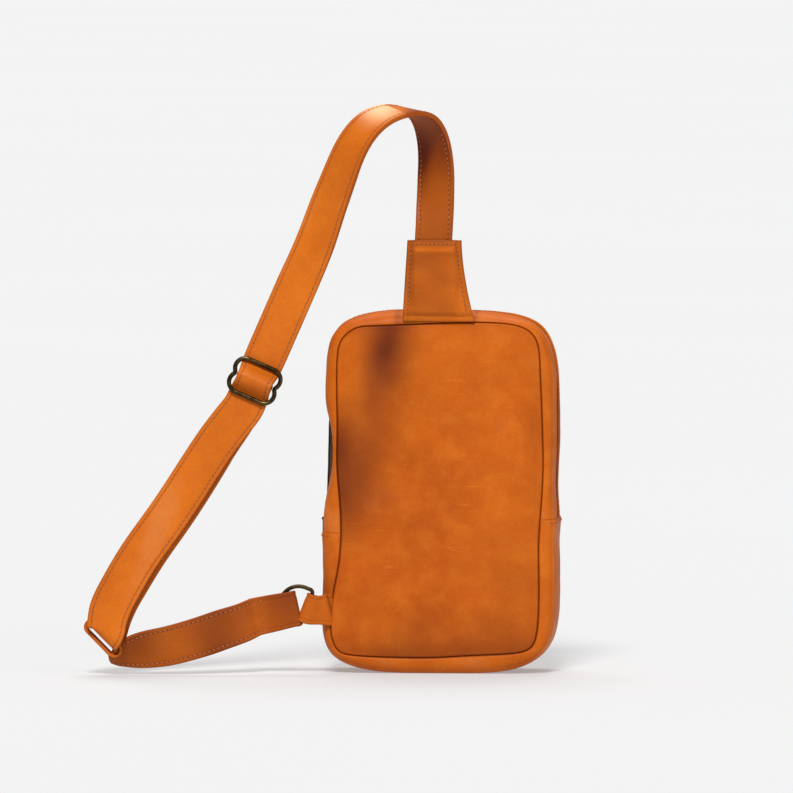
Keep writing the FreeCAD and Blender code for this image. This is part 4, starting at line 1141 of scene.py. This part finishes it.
# ---------------- side tab on the D-ring
LEAN = math.radians(21)
BAR = np.array([-103.8, TAB_Y, 52.4])
BAR_UP = np.array([math.sin(LEAN), 0, math.cos(LEAN)])
BAR_OUT = np.array([math.cos(LEAN), 0, -math.sin(LEAN)])


def on_ring(out, near):
    return tuple(BAR + BAR_OUT * out + NEAR * near)


TAB_HALF = 12.0
tab_path = [
    (on_ring(out, near), tuple(BAR_UP), TAB_HALF) for out, near in (
        (21.4, -8.0), (20.4, -5.2), (18.6, -2.9), (15.6, -1.2), (11, 0.6), (6, 2.2), (2, 2.9), (0, 2.9),
        (-2.05, 2.05), (-2.9, 0), (-2.05, -2.05), (0, -2.9), (4, -2.9), (8, -2.95), (13, -3.3),
        (16, -4.2), (18, -5.6), (19.4, -8.0),
    )
]


def to_the_seam(grid):
    """Stretches the tab's far end, so that it meets the upright seam all along."""
    local = grid - BAR
    out, up = local @ BAR_OUT, local @ BAR_UP
    wanted = (19.6 - up * BAR_UP[0]) / BAR_OUT[0]
    grow = np.where(out > 0, (wanted / 21.0 - 1) * smooth(out / 16) * out, 0)
    level = np.where(out > 0, -0.8 * BAR_OUT[2] * out * smooth(out / 14), 0)
    return grid + grow[..., None] * BAR_OUT + level[..., None] * np.array([0, 0, 1.0])


# a little darker all over, with a painted shadow line where the tab's end meets the upright seam
def side_tab_end_shadow(grid):
    return 0.12 + 0.6 * bell(grid[..., 0], -84.4, 1.5)


strap(
    "side_tab_skin", frames(tab_path, step=0.9), 0.95, ("side_tab",), "bag", layers=1, channel=3.0,
    sewn=False, warp=to_the_seam, extra=side_tab_end_shadow,
)

# ---------------- anchor tab
TAB_X = -1.9
TAB_BASE, TAB_TOP = 281.4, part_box("anchor_tab_front")[1].z / MM
TAB_BACK_OUT, TAB_THICK, TAB_RAISED = 37.1, 1.9, 4.3


def tab_grid(layer, rows=74, cols=61):
    """One layer of the tab, flared at its foot, the front one raised over the strap."""
    s = np.linspace(0, 1, rows)[:, None]
    a = np.linspace(-1, 1, cols)[None, :]
    z = TAB_BASE + (TAB_TOP - TAB_BASE) * s
    half_left = 25.6 - 4.0 * s
    half_right = 21.4 + 10.4 * (1 - s) ** 1.7
    half = np.where(a > 0, half_right, half_left)
    x = TAB_X + a * half
    # the top edge bows a little
    z = z + 0 * a + 0.5 * np.cos(a * 1.6) * (s > 0.9) * (s - 0.9) * 10
    across = np.abs(x - TAB_X)
    raised = smooth((21.8 - across) / 7.4) * smooth((z - 281) / 26)
    near_edge = (1 - np.abs(a)) * half
    if layer == "front":
        out = TAB_BACK_OUT + 2.0 + TAB_RAISED * raised
        out = out - 0.35 * bell(near_edge, 3.6, 0.7) - 0.35 * bell(TAB_TOP - z, 3.4, 0.7)
        out = out + 0.5 * waves(np.stack([x, z], -1), 6, 40, 61)
        out = out - 4.6 * smooth((290 - z) / 10) - 1.2 * smooth((284 - z) / 3)
    else:
        out = TAB_BACK_OUT + 0 * x
    down = TAB_TOP - z
    # a painted highlight in a band below the top row of stitches; the tab is also lighter towards its
    # right and towards its foot
    burn_shade_highlight = 0.42 - 0.42 * bell(down, 7.2, 1.8) * smooth((17 - across) / 3) - 0.12 * smooth((x + 2) / 20)
    burn_shade_highlight -= 0.16 * smooth((318 - z) / 34)
    # darker at the edges and in the rows of stitches
    burn_shade_highlight += 0.40 * bell(near_edge, 0, 0.7) + 0.14 * bell(near_edge, 3.6, 0.5)
    burn_shade_highlight += 0.40 * bell(down, 0, 0.7) + 0.14 * bell(down, 3.4, 0.5) + 0.20 * bell(z, TAB_BASE, 1.6)
    burn_shade_highlight += 0.12 * bell(down, 10, 5) * raised + 0.05 * waves(np.stack([x, z], -1), 6, 30, 62)
    return np.stack([x, -out, z], -1), np.clip(burn_shade_highlight, -1, 1)


for layer in ("front", "back"):
    grid, burn_shade_highlight = tab_grid(layer)
    piece = sheet_of("anchor_tab_%s_skin" % layer, grid, strap_leather, burn_shade_highlight)
    facing_out(piece, lambda point: (0, -1, 0))
    thicken(piece, TAB_THICK)
    dress(piece, "bag", "strap_leather", "anchor_tab_" + layer)
# the tab's three rows of stitches, a few rows and columns in from its edges
fine, _ = tab_grid("front", 140, 121)
away = -normals_of(fine)
if away[60, 60, 1] > 0:
    away = -away
TAB_ROWS = {
    "left": (slice(14, -6), 9, 3.6), "right": (slice(14, -6), 111, 3.6), "top": (-8, slice(9, 112), 3.4),
}
for label, (row, column, pitch) in TAB_ROWS.items():
    line, normal = fine[row, column], away[row, column]
    sew("stitches_tab_" + label, line + normal * 0.1, normal, "bag", pitch=pitch)

# ---------------- metal keeps its CAD shape
ROUNDED = ("adjuster_frame", "adjuster_bar", "d_ring")
SHARP_EDGED = ("zip_slider", "zip_pull", "zipper_stop_left", "zipper_stop_right")
for name in ROUNDED + SHARP_EDGED:
    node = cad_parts[name]
    node.data.materials.clear()
    node.data.materials.append(brass)
    node.data.polygons.foreach_set("use_smooth", [name in ROUNDED] * len(node.data.polygons))

# ---------------- stage, light, camera
FLOOR = 40
floor_mesh = bpy.data.meshes.new("floor")
floor_mesh.from_pydata(
    [(-FLOOR, -FLOOR, 0), (FLOOR, -FLOOR, 0), (FLOOR, FLOOR, 0), (-FLOOR, FLOOR, 0)],
    [], [(0, 1, 2, 3)],
)
floor = bpy.data.objects.new("floor", floor_mesh)
bpy.context.scene.collection.objects.link(floor)
n = Nodes("floor_paint")
pale = n.mix(n.span(n.noise(0.7, 2), 0.3, 0.7, 0, 1), (0.42, 0.42, 0.42), (0.425, 0.425, 0.425))
rough = n.span(n.noise(2, 2), 0.2, 0.8, 0.9, 0.95)
paint = n.finish(
    pale, rough, Specular_IOR_Level=0.0, Emission_Color=(1, 1, 1), Emission_Strength=0.297
)
floor_mesh.materials.append(paint)

world = bpy.data.worlds.new("studio")
world.use_nodes = True
background = world.node_tree.nodes["Background"]
background.inputs["Color"].default_value = (1.0, 1.0, 1.0, 1)
background.inputs["Strength"].default_value = 0.25
bpy.context.scene.world = world


def sun(name, toward, strength, angle):
    lamp = bpy.data.lights.new(name, "SUN")
    lamp.energy = strength
    lamp.angle = math.radians(angle)
    obj = bpy.data.objects.new(name, lamp)
    obj.rotation_mode = "QUATERNION"
    obj.rotation_quaternion = Vector(toward).to_track_quat("-Z", "Y")
    bpy.context.scene.collection.objects.link(obj)


sun("key", (0.03, 0.68, -0.72), 2.8, 16)
sun("side", (-0.7, 0.6, -0.3), 0.55, 40)
sun("rim", (0.03, -0.42, -1), 1.6, 38)

# a long lens, a little to the right of the bag and a little above it
AZ, EL = math.radians(4), math.radians(3)
right = Vector((math.cos(AZ), math.sin(AZ), 0))
up = Vector((-math.sin(AZ) * math.sin(EL), math.cos(AZ) * math.sin(EL), math.cos(EL)))
back = Vector((math.sin(AZ) * math.cos(EL), -math.cos(AZ) * math.cos(EL), math.sin(EL)))
DISTANCE = 9.0
FRAME_WIDTH = 0.6344
target = right * -0.0348 + up * 0.2194
SENSOR = 36
camera = bpy.data.cameras.new("camera")
camera.sensor_width = SENSOR
camera.lens = SENSOR * DISTANCE / FRAME_WIDTH
camera.clip_end = 100
holder = bpy.data.objects.new("camera", camera)
holder.location = target + back * DISTANCE
holder.rotation_mode = "QUATERNION"
holder.rotation_quaternion = (-back).to_track_quat("-Z", "Y")
bpy.context.scene.collection.objects.link(holder)
bpy.context.scene.camera = holder
bpy.context.scene.view_settings.view_transform = "Standard"
